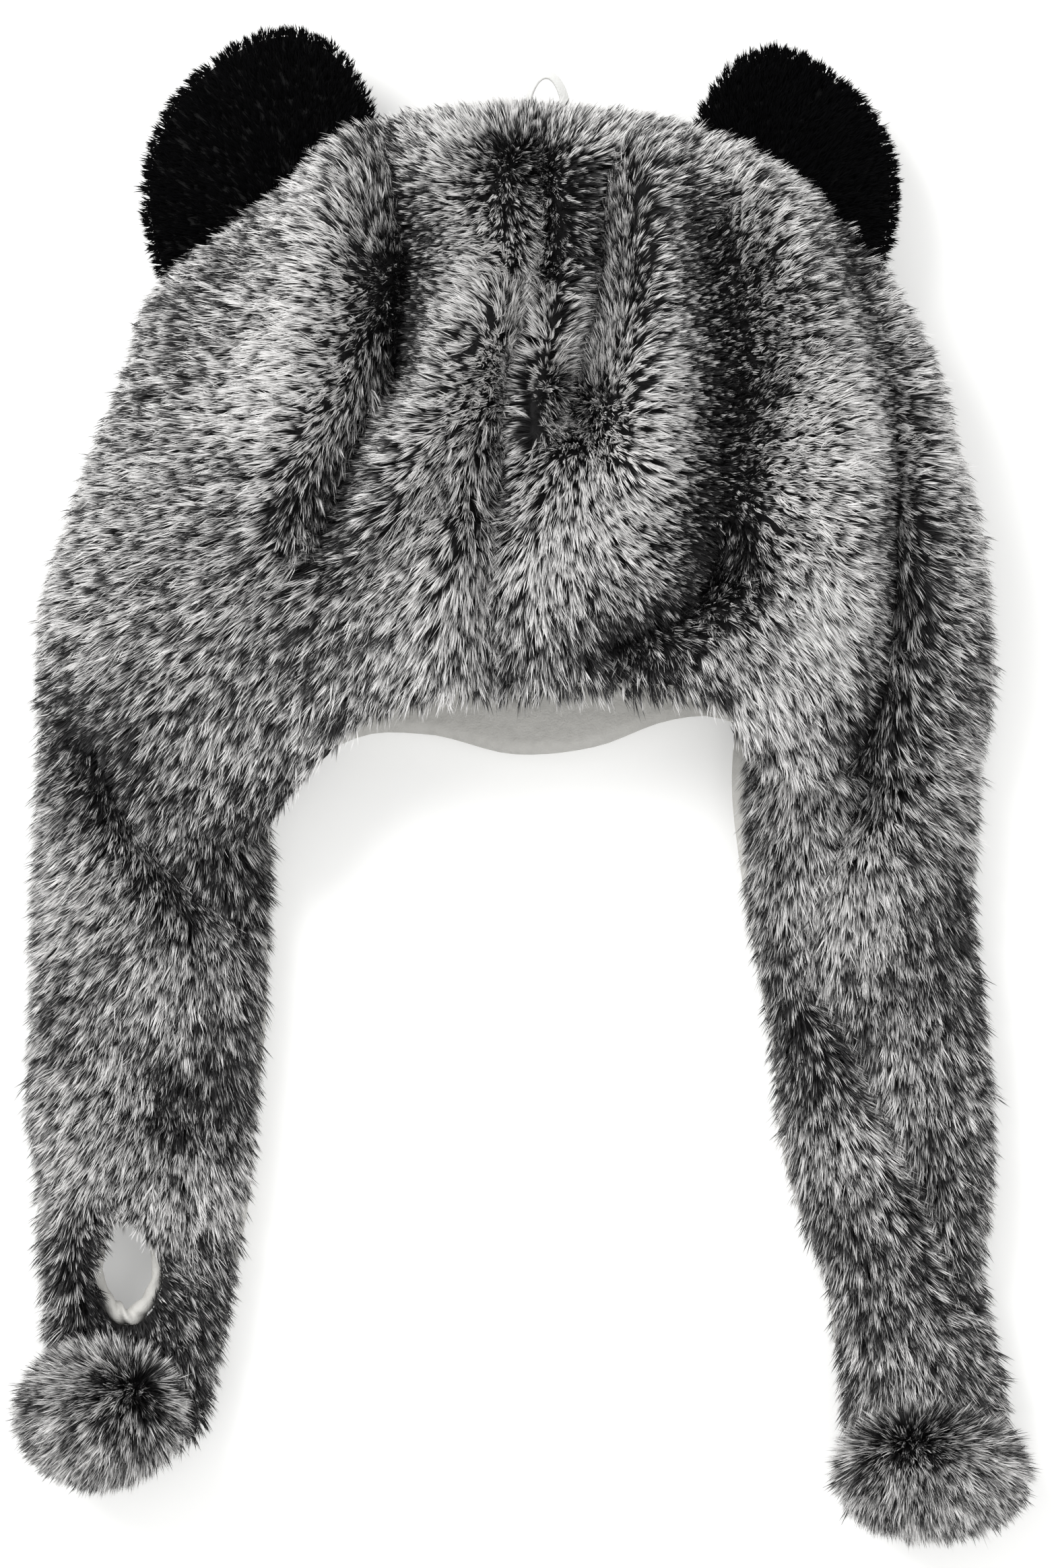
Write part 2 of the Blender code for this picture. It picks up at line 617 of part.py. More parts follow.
def make_hang_loop(crown_cutter, group):
    """A loop of tape that stands up from the top of the crown and turns as it comes round."""
    curve = bpy.data.curves.new("hang_loop_path", "CURVE")
    curve.dimensions = "3D"
    curve.extrude = (TAPE_WIDTH - TAPE_THICKNESS) / 2
    curve.bevel_depth = TAPE_THICKNESS / 2
    curve.bevel_resolution = 0
    curve.use_fill_caps = True
    line = curve.splines.new("POLY")
    line.points.add(LOOP_POINTS - 1)
    for i, point in enumerate(line.points):
        share = i / (LOOP_POINTS - 1)
        angle = math.pi * (1 - share)
        reach = TOP_Y - LOOP_ROOT + (LOOP_REACH + LOOP_ROOT - TAPE_THICKNESS / 2) * math.sin(angle)
        point.co = (LOOP_ACROSS + LOOP_WIDTH / 2 * math.cos(angle), reach, float(side_height(1.0)), 1.0)
        point.tilt = math.radians(LOOP_TURN) * share
    path = bpy.data.objects.new("hang_loop_path", curve)
    group.objects.link(path)
    bpy.context.view_layer.update()
    mesh = bpy.data.meshes.new_from_object(path.evaluated_get(bpy.context.evaluated_depsgraph_get()))
    bpy.data.objects.remove(path, do_unlink=True)
    weld(mesh)
    mesh.name = "hang_loop"
    loop = placed("hang_loop", mesh, finish("tape"), group)
    cut(loop, crown_cutter)


def main():
    clear_scene()
    parts = collection("plush_animal_hat")
    cutters = collection("cutters")
    crown_cutter = make_crown(parts, cutters)
    for label in EARS:
        make_ear(label, crown_cutter, parts)
    left = make_flap("left", -1, LEFT_FLAP, LEFT_CREASES, crown_cutter, parts, cutters)
    right = make_flap("right", 1, RIGHT_FLAP, RIGHT_CREASES, crown_cutter, parts, cutters)
    make_pompom("left", -1, LEFT_FLAP, left, parts, cutters)
    make_pompom("right", 1, RIGHT_FLAP, right, parts, cutters)
    make_hang_loop(crown_cutter, parts)


main()
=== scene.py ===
"""The looks of a plush animal hat that lies on its back.

It has two-tone fur, black plush ears, a fleece lining and a tape loop. The frame's parts are shapes without a
surface. Here each gets its backing cloth, and the fur and plush ones a pile of separate strands too, gathered
into tufts and combed by a table of directions.
"""

import math

import bpy
import numpy as np
from bpy.props import FloatProperty, FloatVectorProperty, IntProperty, PointerProperty
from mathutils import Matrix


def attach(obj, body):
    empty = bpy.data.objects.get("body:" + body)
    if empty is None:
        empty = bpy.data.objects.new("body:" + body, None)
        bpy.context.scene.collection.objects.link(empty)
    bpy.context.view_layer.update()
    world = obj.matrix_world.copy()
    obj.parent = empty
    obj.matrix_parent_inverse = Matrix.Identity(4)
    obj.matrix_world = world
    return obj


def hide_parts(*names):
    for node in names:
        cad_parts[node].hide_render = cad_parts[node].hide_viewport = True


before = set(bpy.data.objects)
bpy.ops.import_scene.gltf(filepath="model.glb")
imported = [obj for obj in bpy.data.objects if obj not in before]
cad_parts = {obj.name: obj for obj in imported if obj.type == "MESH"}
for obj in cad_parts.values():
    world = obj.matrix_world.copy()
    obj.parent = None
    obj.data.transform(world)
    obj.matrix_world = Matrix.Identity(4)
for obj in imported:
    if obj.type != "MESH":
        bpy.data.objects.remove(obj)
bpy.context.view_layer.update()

bl_info = {
    "name": "Plush animal hat",
    "version": (1, 0, 0),
    "blender": (4, 5, 0),
    "location": "3D View > Sidebar > Hat",
    "description": "Makes the fur, plush, fleece and tape of a plush animal hat",
    "category": "Object",
}

# The hat's own sizes, in metres
CROWN_WIDTH = 0.320
CROWN_HEIGHT = 0.218
CROWN_THICKNESS = 0.082
SIDE_FOLD_HEIGHT = 0.030
FUR_WALL = 0.009
LINING_WALL = 0.0025
LINING_GAP = 0.0004
RIM_OFFSET = 0.108
FOLD_DEPTH = 0.015
FOLD_REACH = 0.010
FLAP_LENGTH = 0.235
FLAP_WIDTH = 0.078
FLAP_THICKNESS = 0.030
FLAP_FOLD_HEIGHT = 0.0125
FLAP_EDGE_INSET = 0.002
FLAP_ROOT = 0.006
FLEECE_THICKNESS = 0.0035
FLEECE_MARGIN = 0.011
FLEECE_END = 0.84
SLOT_WIDTH = 0.025
SLOT_LENGTH = 0.042
SLOT_DOWN = 0.728
SLOT_ACROSS = 0.080
BINDING_HEIGHT = 0.0185
EAR_WIDTH = 0.0945
EAR_HEIGHT = 0.0515
EAR_THICKNESS = 0.016
EAR_LEAN = 0.28
EAR_ROOT_HEIGHT = 0.031
EAR_TIP_HEIGHT = 0.022
POMPOM_THICKNESS = 0.050
LEFT_POMPOM_SEAT = 0.008
LOOP_WIDTH = 0.013
LOOP_REACH = 0.0095
LOOP_ROOT = 0.005
LOOP_ACROSS = 0.0105
TAPE_WIDTH = 0.0032
TAPE_THICKNESS = 0.0012

HALF_WIDTH = CROWN_WIDTH / 2
RIM_Y = -RIM_OFFSET
TOP_Y = CROWN_HEIGHT + RIM_Y
LOFT = CROWN_THICKNESS - SIDE_FOLD_HEIGHT
FLOOR_GAP = 0.0004
KNIT_THICKNESS = 0.0015
HEM_RADIUS = 0.0020
UP = np.array([0, 0, 1.0])

# How deep a pile stands in its solid: the backing is drawn in from the solid's skin by as much
CROWN_PILE_DEPTH = 0.0062
FLAP_PILE_DEPTH = 0.0056
POMPOM_PILE_DEPTH = 0.0112
EAR_PILE_DEPTH = 0.0034

# The share of the way up at which the crown's rings end under their closing fan, and at which its pile ends
BODY_TOP = 0.995
PILE_TOP = 0.99

# How much thinner than the solid's wall the crown's cloth and pile are together
WALL_SLACK = 0.0003

# How far the crown's cloth ends above the solid's rim, and how much farther over the mouth
RIM_RAISE = 0.002
MOUTH_RAISE = 0.008
BACK_MOUTH_RAISE = 0.010

# Where the front pile's two pieces meet, in half widths, and how far the slot is left bare, in its half sizes
PILE_SEAM = 0.02
SLOT_BARE = 0.90

# How tufts differ from each other: turn and lift in radians, length as a share, tone from 0 to 1
TUFT_TURN = 0.20
TUFT_LIFT = 0.13
TUFT_LENGTH = 0.10
TUFT_TONE = 0.24

# The same for the strands of one tuft, and how far a strand is twisted about its length, in radians
STRAND_TURN = 0.12
STRAND_LIFT = 0.07
STRAND_TONE = 0.10
STRAND_TWIST = 0.55

# How deep a strand is rooted in its cloth, and how far its middle bows up and hangs back, in its lengths
ROOT_DEPTH = 0.0003
STRAND_BOW = 0.13
STRAND_HANG = 0.04

# How far a row of the comb table reaches, in half widths, and what lifts the front's pile further, in radians
COMB_REACH = 0.11
PARTED_LIFT = 0.45
EXTRA_LIFT = 0.05
FOLD_LIFTS = 0.32

# The front pile's tone: its middle, the comb table's share, painted shade in folds, painted light on ridges,
# patches
MIDDLE_TONE = 0.48
TONE_GAIN = 2.3
FOLD_PAINTED_SHADE = 0.42
RIDGE_PAINTED_LIGHT = 0.24
PATCH_TONE = 0.13

# A flap's crease is shaded this much of a crown's fold
CREASE_SHADE = 0.6

# The stage: the lights, the point that they face, and the camera over the hat's middle
LIGHTS = {
    # name: place, size, power
    "key_light": ((-0.95, 0.85, 1.45), 0.9, 24.0),
    "fill_light": ((1.1, -0.8, 1.6), 1.4, 7.0),
}
LIT_POINT = np.array([0.0, -0.1, 0.0])
CAMERA_PLACE = (0.0043, -0.1180)
CAMERA_REACH = 2.4
SEEN_HEIGHT = 0.524
MIDDLE_HEIGHT = 0.03

STRANDS = {
    # pile: how many strands it has, and the seed of its random draws
    "crown_pile_left": (93600, 11),
    "crown_pile_right": (93600, 12),
    "crown_pile_back": (24000, 13),
    "flap_left_pile_over": (58800, 21),
    "flap_right_pile_over": (58800, 22),
    "flap_left_pile_under": (9600, 23),
    "flap_right_pile_under": (9600, 24),
    "pompom_left_pile": (26400, 31),
    "pompom_right_pile": (26400, 32),
    "ear_left_pile_over": (13200, 41),
    "ear_right_pile_over": (13200, 42),
    "ear_left_pile_under": (4800, 43),
    "ear_right_pile_under": (4800, 44),
}

# Crown sections up its height: half width left and right, loft of the front and height of the side fold, all
# as shares
CROWN_SECTIONS = (
    # up, left, right, loft, side
    (0.00, 1.003, 0.985, 0.70, 0.45),
    (0.12, 1.008, 1.005, 0.83, 0.66),
    (0.24, 1.008, 1.010, 0.94, 0.85),
    (0.36, 0.980, 1.013, 0.98, 0.97),
    (0.48, 0.955, 1.006, 1.00, 1.00),
    (0.60, 0.945, 1.028, 1.00, 1.00),
    (0.72, 0.980, 1.036, 1.02, 1.00),
    (0.80, 0.925, 1.042, 1.03, 1.00),
    (0.88, 0.851, 1.080, 1.03, 1.00),
    (0.94, 0.935, 1.105, 1.00, 1.00),
    (1.00, 1.150, 1.250, 1.00, 1.00),
)

# The rim from left to right in half widths, and how far front and back hang below it in crown heights
RIM_LINE = (
    # across, front, back
    (-1.00, 0.000, 0.000),
    (-0.90, 0.012, 0.012),
    (-0.79, 0.058, 0.058),
    (-0.66, 0.112, 0.112),
    (-0.56, 0.120, 0.120),
    (-0.50, 0.096, 0.096),
    (-0.44, 0.040, 0.040),
    (-0.34, -0.014, -0.014),
    (-0.19, -0.052, -0.024),
    (0.00, -0.062, 0.007),
    (0.17, -0.062, -0.005),
    (0.33, -0.060, -0.046),
    (0.41, -0.052, -0.048),
    (0.48, -0.020, -0.020),
    (0.56, 0.028, 0.028),
    (0.65, 0.046, 0.046),
    (0.76, 0.026, 0.026),
    (0.88, 0.006, 0.006),
    (1.00, 0.008, 0.008),
)

# Folds of the crown's front, each through three points in half widths and crown heights
CROWN_FOLDS = (
    # x1, y1, x2, y2, x3, y3, sink, reach
    (0.035, 0.46, 0.05, 0.33, 0.04, 0.20, 0.50, 0.80),
    (0.030, 0.20, 0.00, 0.05, -0.03, -0.10, 0.75, 0.80),
    (-0.030, -0.10, -0.055, -0.25, -0.03, -0.42, 0.50, 0.80),
    (-0.270, 0.45, -0.215, 0.25, -0.24, 0.08, 1.00, 1.10),
    (-0.240, 0.08, -0.33, -0.04, -0.40, -0.15, 0.90, 1.00),
    (-0.360, 0.42, -0.42, 0.15, -0.48, -0.14, -0.45, 1.40),
    (0.000, 0.20, -0.13, 0.09, -0.25, -0.12, -0.60, 1.10),
    (0.085, 0.20, 0.05, 0.10, 0.03, 0.00, -0.45, 0.60),
    (0.190, 0.36, 0.17, 0.20, 0.10, 0.02, 1.00, 0.95),
    (0.260, 0.38, 0.28, 0.20, 0.24, -0.05, -0.50, 1.00),
    (0.395, 0.30, 0.44, 0.08, 0.41, -0.20, 0.90, 1.70),
    (0.415, -0.20, 0.36, -0.28, 0.20, -0.32, 0.85, 0.90),
    (0.500, 0.40, 0.67, 0.12, 0.68, -0.24, -0.55, 1.30),
    (0.660, 0.33, 0.765, 0.02, 0.775, -0.28, 0.90, 0.80),
    (0.775, -0.28, 0.75, -0.42, 0.69, -0.52, 0.75, 0.85),
    (-0.140, -0.18, -0.16, -0.28, -0.15, -0.38, -0.30, 1.00),
    (-0.950, -0.38, -0.82, -0.56, -0.60, -0.65, 0.60, 0.90),
)

# How the pile of the crown's front and of the flaps is combed, at places in half widths and crown heights:
# the way it points, in degrees from the right, how many degrees it stands off the cloth, and how light it is
# against the rest, which is partly the fur's own streaks and partly painted shade where the pile stands up
PILE_COMB = (
    # x, y, way, lift, tone
    (-0.50, 0.43, 150, 28, 0.05),
    (-0.65, 0.27, 172, 28, 0.00),
    (-0.75, 0.15, 180, 28, 0.00),
    (-0.85, -0.05, 186, 28, 0.05),
    (-0.93, -0.22, 196, 28, 0.04),
    (-0.97, -0.36, 214, 30, 0.04),
    (-0.44, 0.20, 180, 28, 0.16),
    (-0.47, 0.00, 185, 28, 0.14),
    (-0.60, -0.12, 190, 30, 0.02),
    (-0.70, -0.25, 202, 30, 0.00),
    (-0.85, -0.35, 210, 30, 0.06),
    (-0.45, -0.20, 205, 30, 0.05),
    (-0.50, -0.33, 222, 30, -0.05),
    (-0.65, -0.42, 232, 30, 0.02),
    (-0.80, -0.50, 225, 36, -0.15),
    (-0.50, -0.47, 245, 28, 0.00),
    (-0.60, -0.60, 255, 28, 0.00),
    (-0.35, 0.35, 165, 32, 0.00),
    (-0.25, 0.20, 184, 44, -0.20),
    (-0.15, 0.25, 200, 52, 0.12),
    (-0.20, 0.42, 150, 28, 0.12),
    (-0.12, 0.46, 125, 28, 0.14),
    (0.00, 0.49, 95, 28, 0.10),
    (0.12, 0.48, 70, 28, 0.14),
    (0.25, 0.46, 50, 27, 0.12),
    (0.40, 0.42, 30, 27, 0.08),
    (0.00, 0.38, 265, 50, -0.22),
    (0.05, 0.28, 268, 38, 0.10),
    (-0.08, 0.33, 215, 40, 0.04),
    (0.12, 0.35, -20, 42, 0.00),
    (0.20, 0.38, 15, 40, -0.05),
    (0.27, 0.28, 10, 38, -0.05),
    (0.35, 0.35, 25, 32, 0.00),
    (-0.05, 0.17, 150, 32, 0.14),
    (-0.14, 0.08, 176, 30, 0.12),
    (-0.20, -0.03, 188, 30, 0.10),
    (-0.37, -0.10, 200, 50, -0.24),
    (-0.38, -0.16, 215, 50, -0.20),
    (-0.27, -0.12, 205, 30, 0.10),
    (-0.03, 0.05, 160, 42, 0.00),
    (-0.04, -0.04, 190, 40, 0.04),
    (-0.03, -0.10, 230, 65, -0.25),
    (-0.15, -0.12, 215, 32, 0.02),
    (-0.25, -0.20, 222, 30, 0.00),
    (-0.14, -0.28, 238, 26, 0.16),
    (-0.35, -0.35, 235, 28, 0.00),
    (-0.25, -0.41, 250, 24, 0.05),
    (-0.12, -0.41, 262, 22, 0.08),
    (0.06, 0.12, 140, 32, 0.34),
    (0.13, 0.16, 0, 50, -0.14),
    (0.12, 0.00, -30, 50, -0.08),
    (0.04, -0.04, 225, 36, 0.20),
    (0.05, -0.11, 265, 34, 0.20),
    (0.03, -0.20, 270, 28, 0.20),
    (0.03, -0.33, 275, 28, 0.02),
    (-0.05, -0.38, 262, 24, -0.10),
    (0.24, 0.10, 10, 40, 0.14),
    (0.28, 0.00, -10, 48, 0.18),
    (0.25, -0.12, -25, 46, 0.14),
    (0.15, -0.25, -60, 40, 0.06),
    (0.12, -0.38, 280, 26, -0.05),
    (0.25, -0.36, 290, 30, -0.18),
    (0.36, -0.39, 297, 26, 0.00),
    (0.50, -0.38, 300, 26, 0.05),
    (0.31, 0.22, 10, 52, 0.05),
    (0.42, 0.20, 5, 50, -0.02),
    (0.47, 0.05, 0, 50, -0.04),
    (0.45, -0.10, -8, 50, -0.05),
    (0.42, -0.22, -25, 48, -0.12),
    (0.32, -0.22, -30, 46, 0.08),
    (0.55, 0.30, 15, 32, 0.00),
    (0.60, 0.15, 5, 30, 0.05),
    (0.62, 0.00, 0, 28, 0.08),
    (0.70, -0.05, -5, 26, 0.20),
    (0.60, -0.15, -12, 28, 0.10),
    (0.58, -0.30, -35, 28, 0.10),
    (0.70, -0.30, -40, 26, 0.18),
    (0.61, -0.45, -66, 26, 0.16),
    (0.72, 0.25, 12, 32, 0.00),
    (0.80, 0.15, 5, 30, 0.05),
    (0.88, 0.00, -8, 30, 0.06),
    (0.95, -0.20, -25, 30, 0.04),
    (0.90, -0.35, -35, 32, 0.00),
    (0.97, -0.42, -40, 32, -0.05),
    (0.81, -0.20, -20, 34, -0.10),
    (0.75, -0.48, -60, 45, -0.25),
    (0.86, -0.50, -32, 34, -0.05),
    (-0.97, -0.55, 225, 34, 0.00),
    (-0.90, -0.55, 235, 38, -0.15),
    (-0.82, -0.60, 240, 42, -0.20),
    (-0.72, -0.55, 250, 30, 0.08),
    (-0.60, -0.57, 262, 30, 0.03),
    (-0.65, -0.66, 250, 55, -0.22),
    (-0.57, -0.67, 260, 55, -0.22),
    (-0.52, -0.60, 268, 30, -0.02),
    (-0.95, -0.68, 215, 28, 0.10),
    (-0.87, -0.71, 222, 28, 0.08),
    (-0.85, -0.79, 218, 38, -0.12),
    (-0.78, -0.70, 245, 36, -0.08),
    (-0.68, -0.75, 262, 32, 0.00),
    (-0.55, -0.76, 278, 32, -0.05),
    (-0.97, -0.90, 235, 32, -0.08),
    (-0.88, -0.88, 245, 30, 0.05),
    (-0.80, -0.86, 255, 26, 0.15),
    (-0.72, -0.90, 258, 28, 0.05),
    (-0.62, -0.88, 262, 32, -0.08),
    (-0.54, -0.90, 275, 34, -0.10),
    (-0.95, -1.00, 240, 32, -0.06),
    (-0.86, -1.01, 240, 26, 0.14),
    (-0.76, -0.97, 250, 42, -0.18),
    (-0.67, -1.00, 265, 42, -0.22),
    (-0.58, -1.00, 272, 32, -0.03),
    (-0.95, -1.11, 235, 30, 0.02),
    (-0.87, -1.09, 232, 30, 0.05),
    (-0.79, -1.09, 245, 34, -0.06),
    (-0.72, -1.07, 268, 42, -0.22),
    (-0.62, -1.12, 275, 30, 0.06),
    (-0.54, -1.15, 285, 34, -0.10),
    (-0.85, -1.17, 235, 28, 0.08),
    (-0.75, -1.18, 260, 28, 0.10),
    (-0.68, -1.20, 275, 28, 0.08),
    (-0.96, -1.22, 235, 30, 0.05),
    (-0.90, -1.28, 240, 38, -0.15),
    (-0.97, -1.35, 235, 30, 0.00),
    (-0.62, -1.27, 282, 32, -0.03),
    (-0.68, -1.33, 290, 42, -0.24),
    (-0.60, -1.37, 285, 34, -0.06),
    (-0.90, -1.38, 240, 40, -0.15),
    (-0.80, -1.44, 265, 50, -0.15),
    (0.52, -0.55, 265, 40, -0.18),
    (0.59, -0.52, 285, 26, 0.24),
    (0.55, -0.63, 280, 32, -0.06),
    (0.64, -0.56, 265, 32, 0.08),
    (0.66, -0.63, 275, 28, 0.10),
    (0.72, -0.54, 300, 50, -0.16),
    (0.80, -0.56, 320, 36, 0.00),
    (0.92, -0.52, -15, 30, 0.06),
    (0.75, -0.64, 300, 28, 0.10),
    (0.83, -0.62, 310, 30, 0.05),
    (0.90, -0.61, 290, 38, -0.18),
    (0.97, -0.63, 300, 32, -0.08),
    (0.55, -0.71, 275, 30, 0.00),
    (0.63, -0.71, 280, 26, 0.14),
    (0.72, -0.73, 270, 26, 0.10),
    (0.82, -0.73, 262, 34, -0.12),
    (0.90, -0.73, 285, 36, -0.15),
    (0.97, -0.78, 295, 32, -0.05),
    (0.56, -0.82, 278, 38, -0.14),
    (0.65, -0.82, 295, 26, 0.12),
    (0.74, -0.84, 275, 30, 0.06),
    (0.82, -0.86, 255, 36, -0.15),
    (0.92, -0.86, 285, 34, -0.12),
    (0.59, -0.92, 282, 38, -0.18),
    (0.68, -0.92, 305, 34, -0.12),
    (0.76, -0.95, 275, 28, 0.12),
    (0.84, -0.98, 265, 34, -0.10),
    (0.94, -0.98, 290, 32, -0.03),
    (0.60, -1.03, 285, 34, -0.06),
    (0.70, -1.02, 308, 36, -0.18),
    (0.77, -1.05, 280, 28, 0.12),
    (0.88, -1.08, 270, 30, 0.00),
    (0.96, -1.09, 295, 30, 0.00),
    (0.62, -1.13, 280, 32, 0.02),
    (0.72, -1.12, 305, 28, 0.12),
    (0.80, -1.15, 300, 30, 0.08),
    (0.89, -1.17, 275, 42, -0.24),
    (0.97, -1.20, 300, 30, -0.03),
    (0.68, -1.22, 275, 38, -0.16),
    (0.78, -1.23, 305, 34, -0.10),
    (0.88, -1.25, 310, 28, 0.08),
    (0.71, -1.32, 272, 30, -0.02),
    (0.81, -1.32, 300, 36, -0.12),
    (0.88, -1.32, 315, 40, -0.20),
    (0.97, -1.30, 300, 30, -0.03),
    (0.71, -1.42, 270, 32, -0.08),
    (0.82, -1.42, 280, 28, 0.08),
    (0.92, -1.43, 300, 34, -0.10),
    (0.78, -1.53, 268, 36, -0.08),
    (0.90, -1.53, 295, 36, -0.08),
)

# Flaps down their length: middle's drift outwards in widths, shares of width and thickness, showing fleece
LEFT_FLAP = (
    # down, drift, width, thickness, fleece
    (0.00, 0.000, 0.960, 1.22, 0.006),
    (0.19, 0.020, 1.010, 1.12, 0.006),
    (0.37, 0.039, 0.987, 1.02, 0.006),
    (0.51, 0.065, 0.975, 1.00, 0.006),
    (0.63, 0.062, 0.883, 0.96, 0.006),
    (0.755, 0.088, 0.810, 0.92, 0.006),
    (0.88, 0.094, 0.680, 0.84, 0.006),
    (0.95, 0.060, 0.540, 0.70, 0.006),
    (1.00, 0.030, 0.340, 0.50, 0.006),
)
RIGHT_FLAP = (
    # down, drift, width, thickness, fleece
    (0.00, 0.000, 1.000, 1.22, 0.042),
    (0.13, -0.013, 0.995, 1.16, 0.042),
    (0.24, -0.009, 0.958, 1.08, 0.020),
    (0.32, 0.032, 0.940, 1.02, 0.006),
    (0.43, 0.081, 0.923, 1.00, 0.006),
    (0.545, 0.111, 0.914, 1.00, 0.006),
    (0.665, 0.150, 0.785, 0.98, 0.006),
    (0.735, 0.178, 0.680, 0.96, 0.006),
    (0.82, 0.215, 0.665, 0.94, 0.006),
    (0.92, 0.264, 0.712, 0.90, 0.006),
    (1.00, 0.290, 0.660, 0.84, 0.006),
)

# Creases of a flap's upper skin, each through three points in flap lengths and half widths
LEFT_CREASES = (
    # down1, across1, down2, across2, down3, across3, sink, reach
    (0.00, 0.60, 0.08, 0.10, 0.15, -0.75, 0.50, 0.90),
    (0.30, 0.70, 0.40, 0.10, 0.46, -0.60, 0.20, 1.10),
)
RIGHT_CREASES = (
    # down1, across1, down2, across2, down3, across3, sink, reach
    (0.00, 0.05, 0.03, 0.05, 0.06, 0.00, 0.55, 1.20),
    (0.06, -0.10, 0.18, -0.40, 0.32, -0.70, 0.30, 0.90),
    (0.34, -0.50, 0.55, 0.05, 0.76, 0.66, 0.50, 0.85),
)
FLAPS = {"left": (-1, LEFT_FLAP, LEFT_CREASES), "right": (1, RIGHT_FLAP, RIGHT_CREASES)}

POMPOMS = {
    # side: outwards and up in its own sizes, width, length
    "left": (0.248, 0.275, 0.0610, 0.0536),
    "right": (0.000, -0.114, 0.0713, 0.0493),
}
WHORLS = {
    # side: where the pompom's strands part, right and up in its half sizes
    "left": (0.55, 0.50),
    "right": (-0.30, 0.80),
}
EARS = {
    # side: across in half widths, up in crown heights, turn in degrees, size, lean
    "left": (-0.516, 0.358, 35.7, 0.97, 1.00),
    "right": (0.568, 0.358, -38.5, 0.855, -1.00),
}


class HatSizes(bpy.types.PropertyGroup):
    """Sizes of the pile's strands and tufts."""

    pile: FloatProperty(
        name="Pile length",
        description="Length of the fur's strands",
        default=0.0108,
        unit="LENGTH",
    )
    pompom_pile: FloatProperty(
        name="Pompom pile length",
        description="Length of the strands of the pompoms",
        default=0.0130,
        unit="LENGTH",
    )
    plush: FloatProperty(
        name="Plush length",
        description="Length of the strands of the ears",
        default=0.0055,
        unit="LENGTH",
    )
    strand: FloatProperty(
        name="Strand width",
        description="Width of a strand at its middle",
        default=0.00034,
        unit="LENGTH",
        precision=5,
    )
    tuft: FloatProperty(
        name="Tuft radius",
        description="How far from its middle a tuft's strands are rooted",
        default=0.0009,
        unit="LENGTH",
        precision=4,
    )
    gathered: IntProperty(
        name="Strands in a tuft",
        description="How many strands are gathered into one tuft",
        default=7,
    )


class HatColours(bpy.types.PropertyGroup):
    """Colours of the hat's finishes."""

    root: FloatVectorProperty(
        name="Fur root",
        description="Colour of the fur near the cloth",
        default=(0.009, 0.0085, 0.009),
        subtype="COLOR",
    )
    tip: FloatVectorProperty(
        name="Fur tip",
        description="Colour of the fur's ends",
        default=(0.80, 0.79, 0.78),
        subtype="COLOR",
    )
    ears: FloatVectorProperty(
        name="Ear plush",
        description="Colour of the ears",
        default=(0.0010, 0.0010, 0.0012),
        subtype="COLOR",
    )
    fleece: FloatVectorProperty(
        name="Fleece",
        description="Colour of the lining",
        default=(0.62, 0.61, 0.58),
        subtype="COLOR",
    )
    tape: FloatVectorProperty(
        name="Tape",
        description="Colour of the hang loop",
        default=(0.74, 0.74, 0.72),
        subtype="COLOR",
    )


class Finish:
    """One material."""

    def __init__(self, name):
        self.material = bpy.data.materials.new(name)
        self.material.use_nodes = True
        self.tree = self.material.node_tree
        self.shader = self.tree.nodes["Principled BSDF"]

    def node(self, kind, settings, sockets, output=0):
        """Adds a node, with its settings first and then its sockets, and gives back one of its outputs."""
        made = self.tree.nodes.new(kind)
        for name, value in settings.items():
            setattr(made, name, value)
        for name, value in sockets.items():
            self.connect(made.inputs[name], value)
        return Term(self, made.outputs[output])

    def connect(self, socket, value):
        """Links a term to a socket, or sets a plain value on it."""
        if isinstance(value, Term):
            self.tree.links.new(value.socket, socket)
        else:
            socket.default_value = value

    def set(self, **sockets):
        """Connects sockets of the shader by their names, and gives back the material."""
        for name, value in sockets.items():
            self.connect(self.shader.inputs[name.replace("_", " ")], value)
        return self.material

    def mix(self, low, high, share):
        """One colour into another by a share from 0 to 1."""
        return self.node("ShaderNodeMix", {"data_type": "RGBA"}, {0: share, 6: low, 7: high}, 2)

    def step(self, value, low, high):
        """0 below low and 1 above high, with a smooth rise between them."""
        settings = {"interpolation_type": "SMOOTHSTEP"}
        return self.node("ShaderNodeMapRange", settings, {0: value, 1: low, 2: high, 3: 0.0, 4: 1.0})

    def noise(self, scale, detail):
        """Noise over the piece's own place, with its scale in waves to the metre."""
        place = self.node("ShaderNodeTexCoord", {}, {}, "Object")
        return self.node("ShaderNodeTexNoise", {}, {"Vector": place, "Scale": scale, "Detail": detail})

    def bump(self, height, distance):
        """A normal tilted by the rise of a height, which stands for a distance in metres."""
        return self.node("ShaderNodeBump", {}, {"Height": height, "Distance": distance, "Strength": 1.0})


class Term:
    """One socket's value, on which sums written in Python add Math nodes."""

    def __init__(self, finish, socket):
        self.finish = finish
        self.socket = socket

    def maths(self, operation, first, second):
        """A Math node on two values."""
        return self.finish.node("ShaderNodeMath", {"operation": operation}, {0: first, 1: second})

    def __add__(self, other):
        return self.maths("ADD", self, other)

    def __sub__(self, other):
        return self.maths("SUBTRACT", self, other)

    def __mul__(self, other):
        return self.maths("MULTIPLY", self, other)

    def __rsub__(self, other):
        return self.maths("SUBTRACT", other, self)

    __radd__ = __add__
    __rmul__ = __mul__


def solid(colour):
    """A colour with full cover."""
    return (*colour, 1.0)


def strand_parts(finish):
    """The two numbers in a strand's own map: how light the strand is, and how far along it the point lies."""
    place = finish.node("ShaderNodeUVMap", {"uv_map": "OFBake"}, {})
    tone = finish.node("ShaderNodeSeparateXYZ", {}, {"Vector": place}, "X")
    along = finish.node("ShaderNodeSeparateXYZ", {}, {"Vector": place}, "Y")
    return tone, along


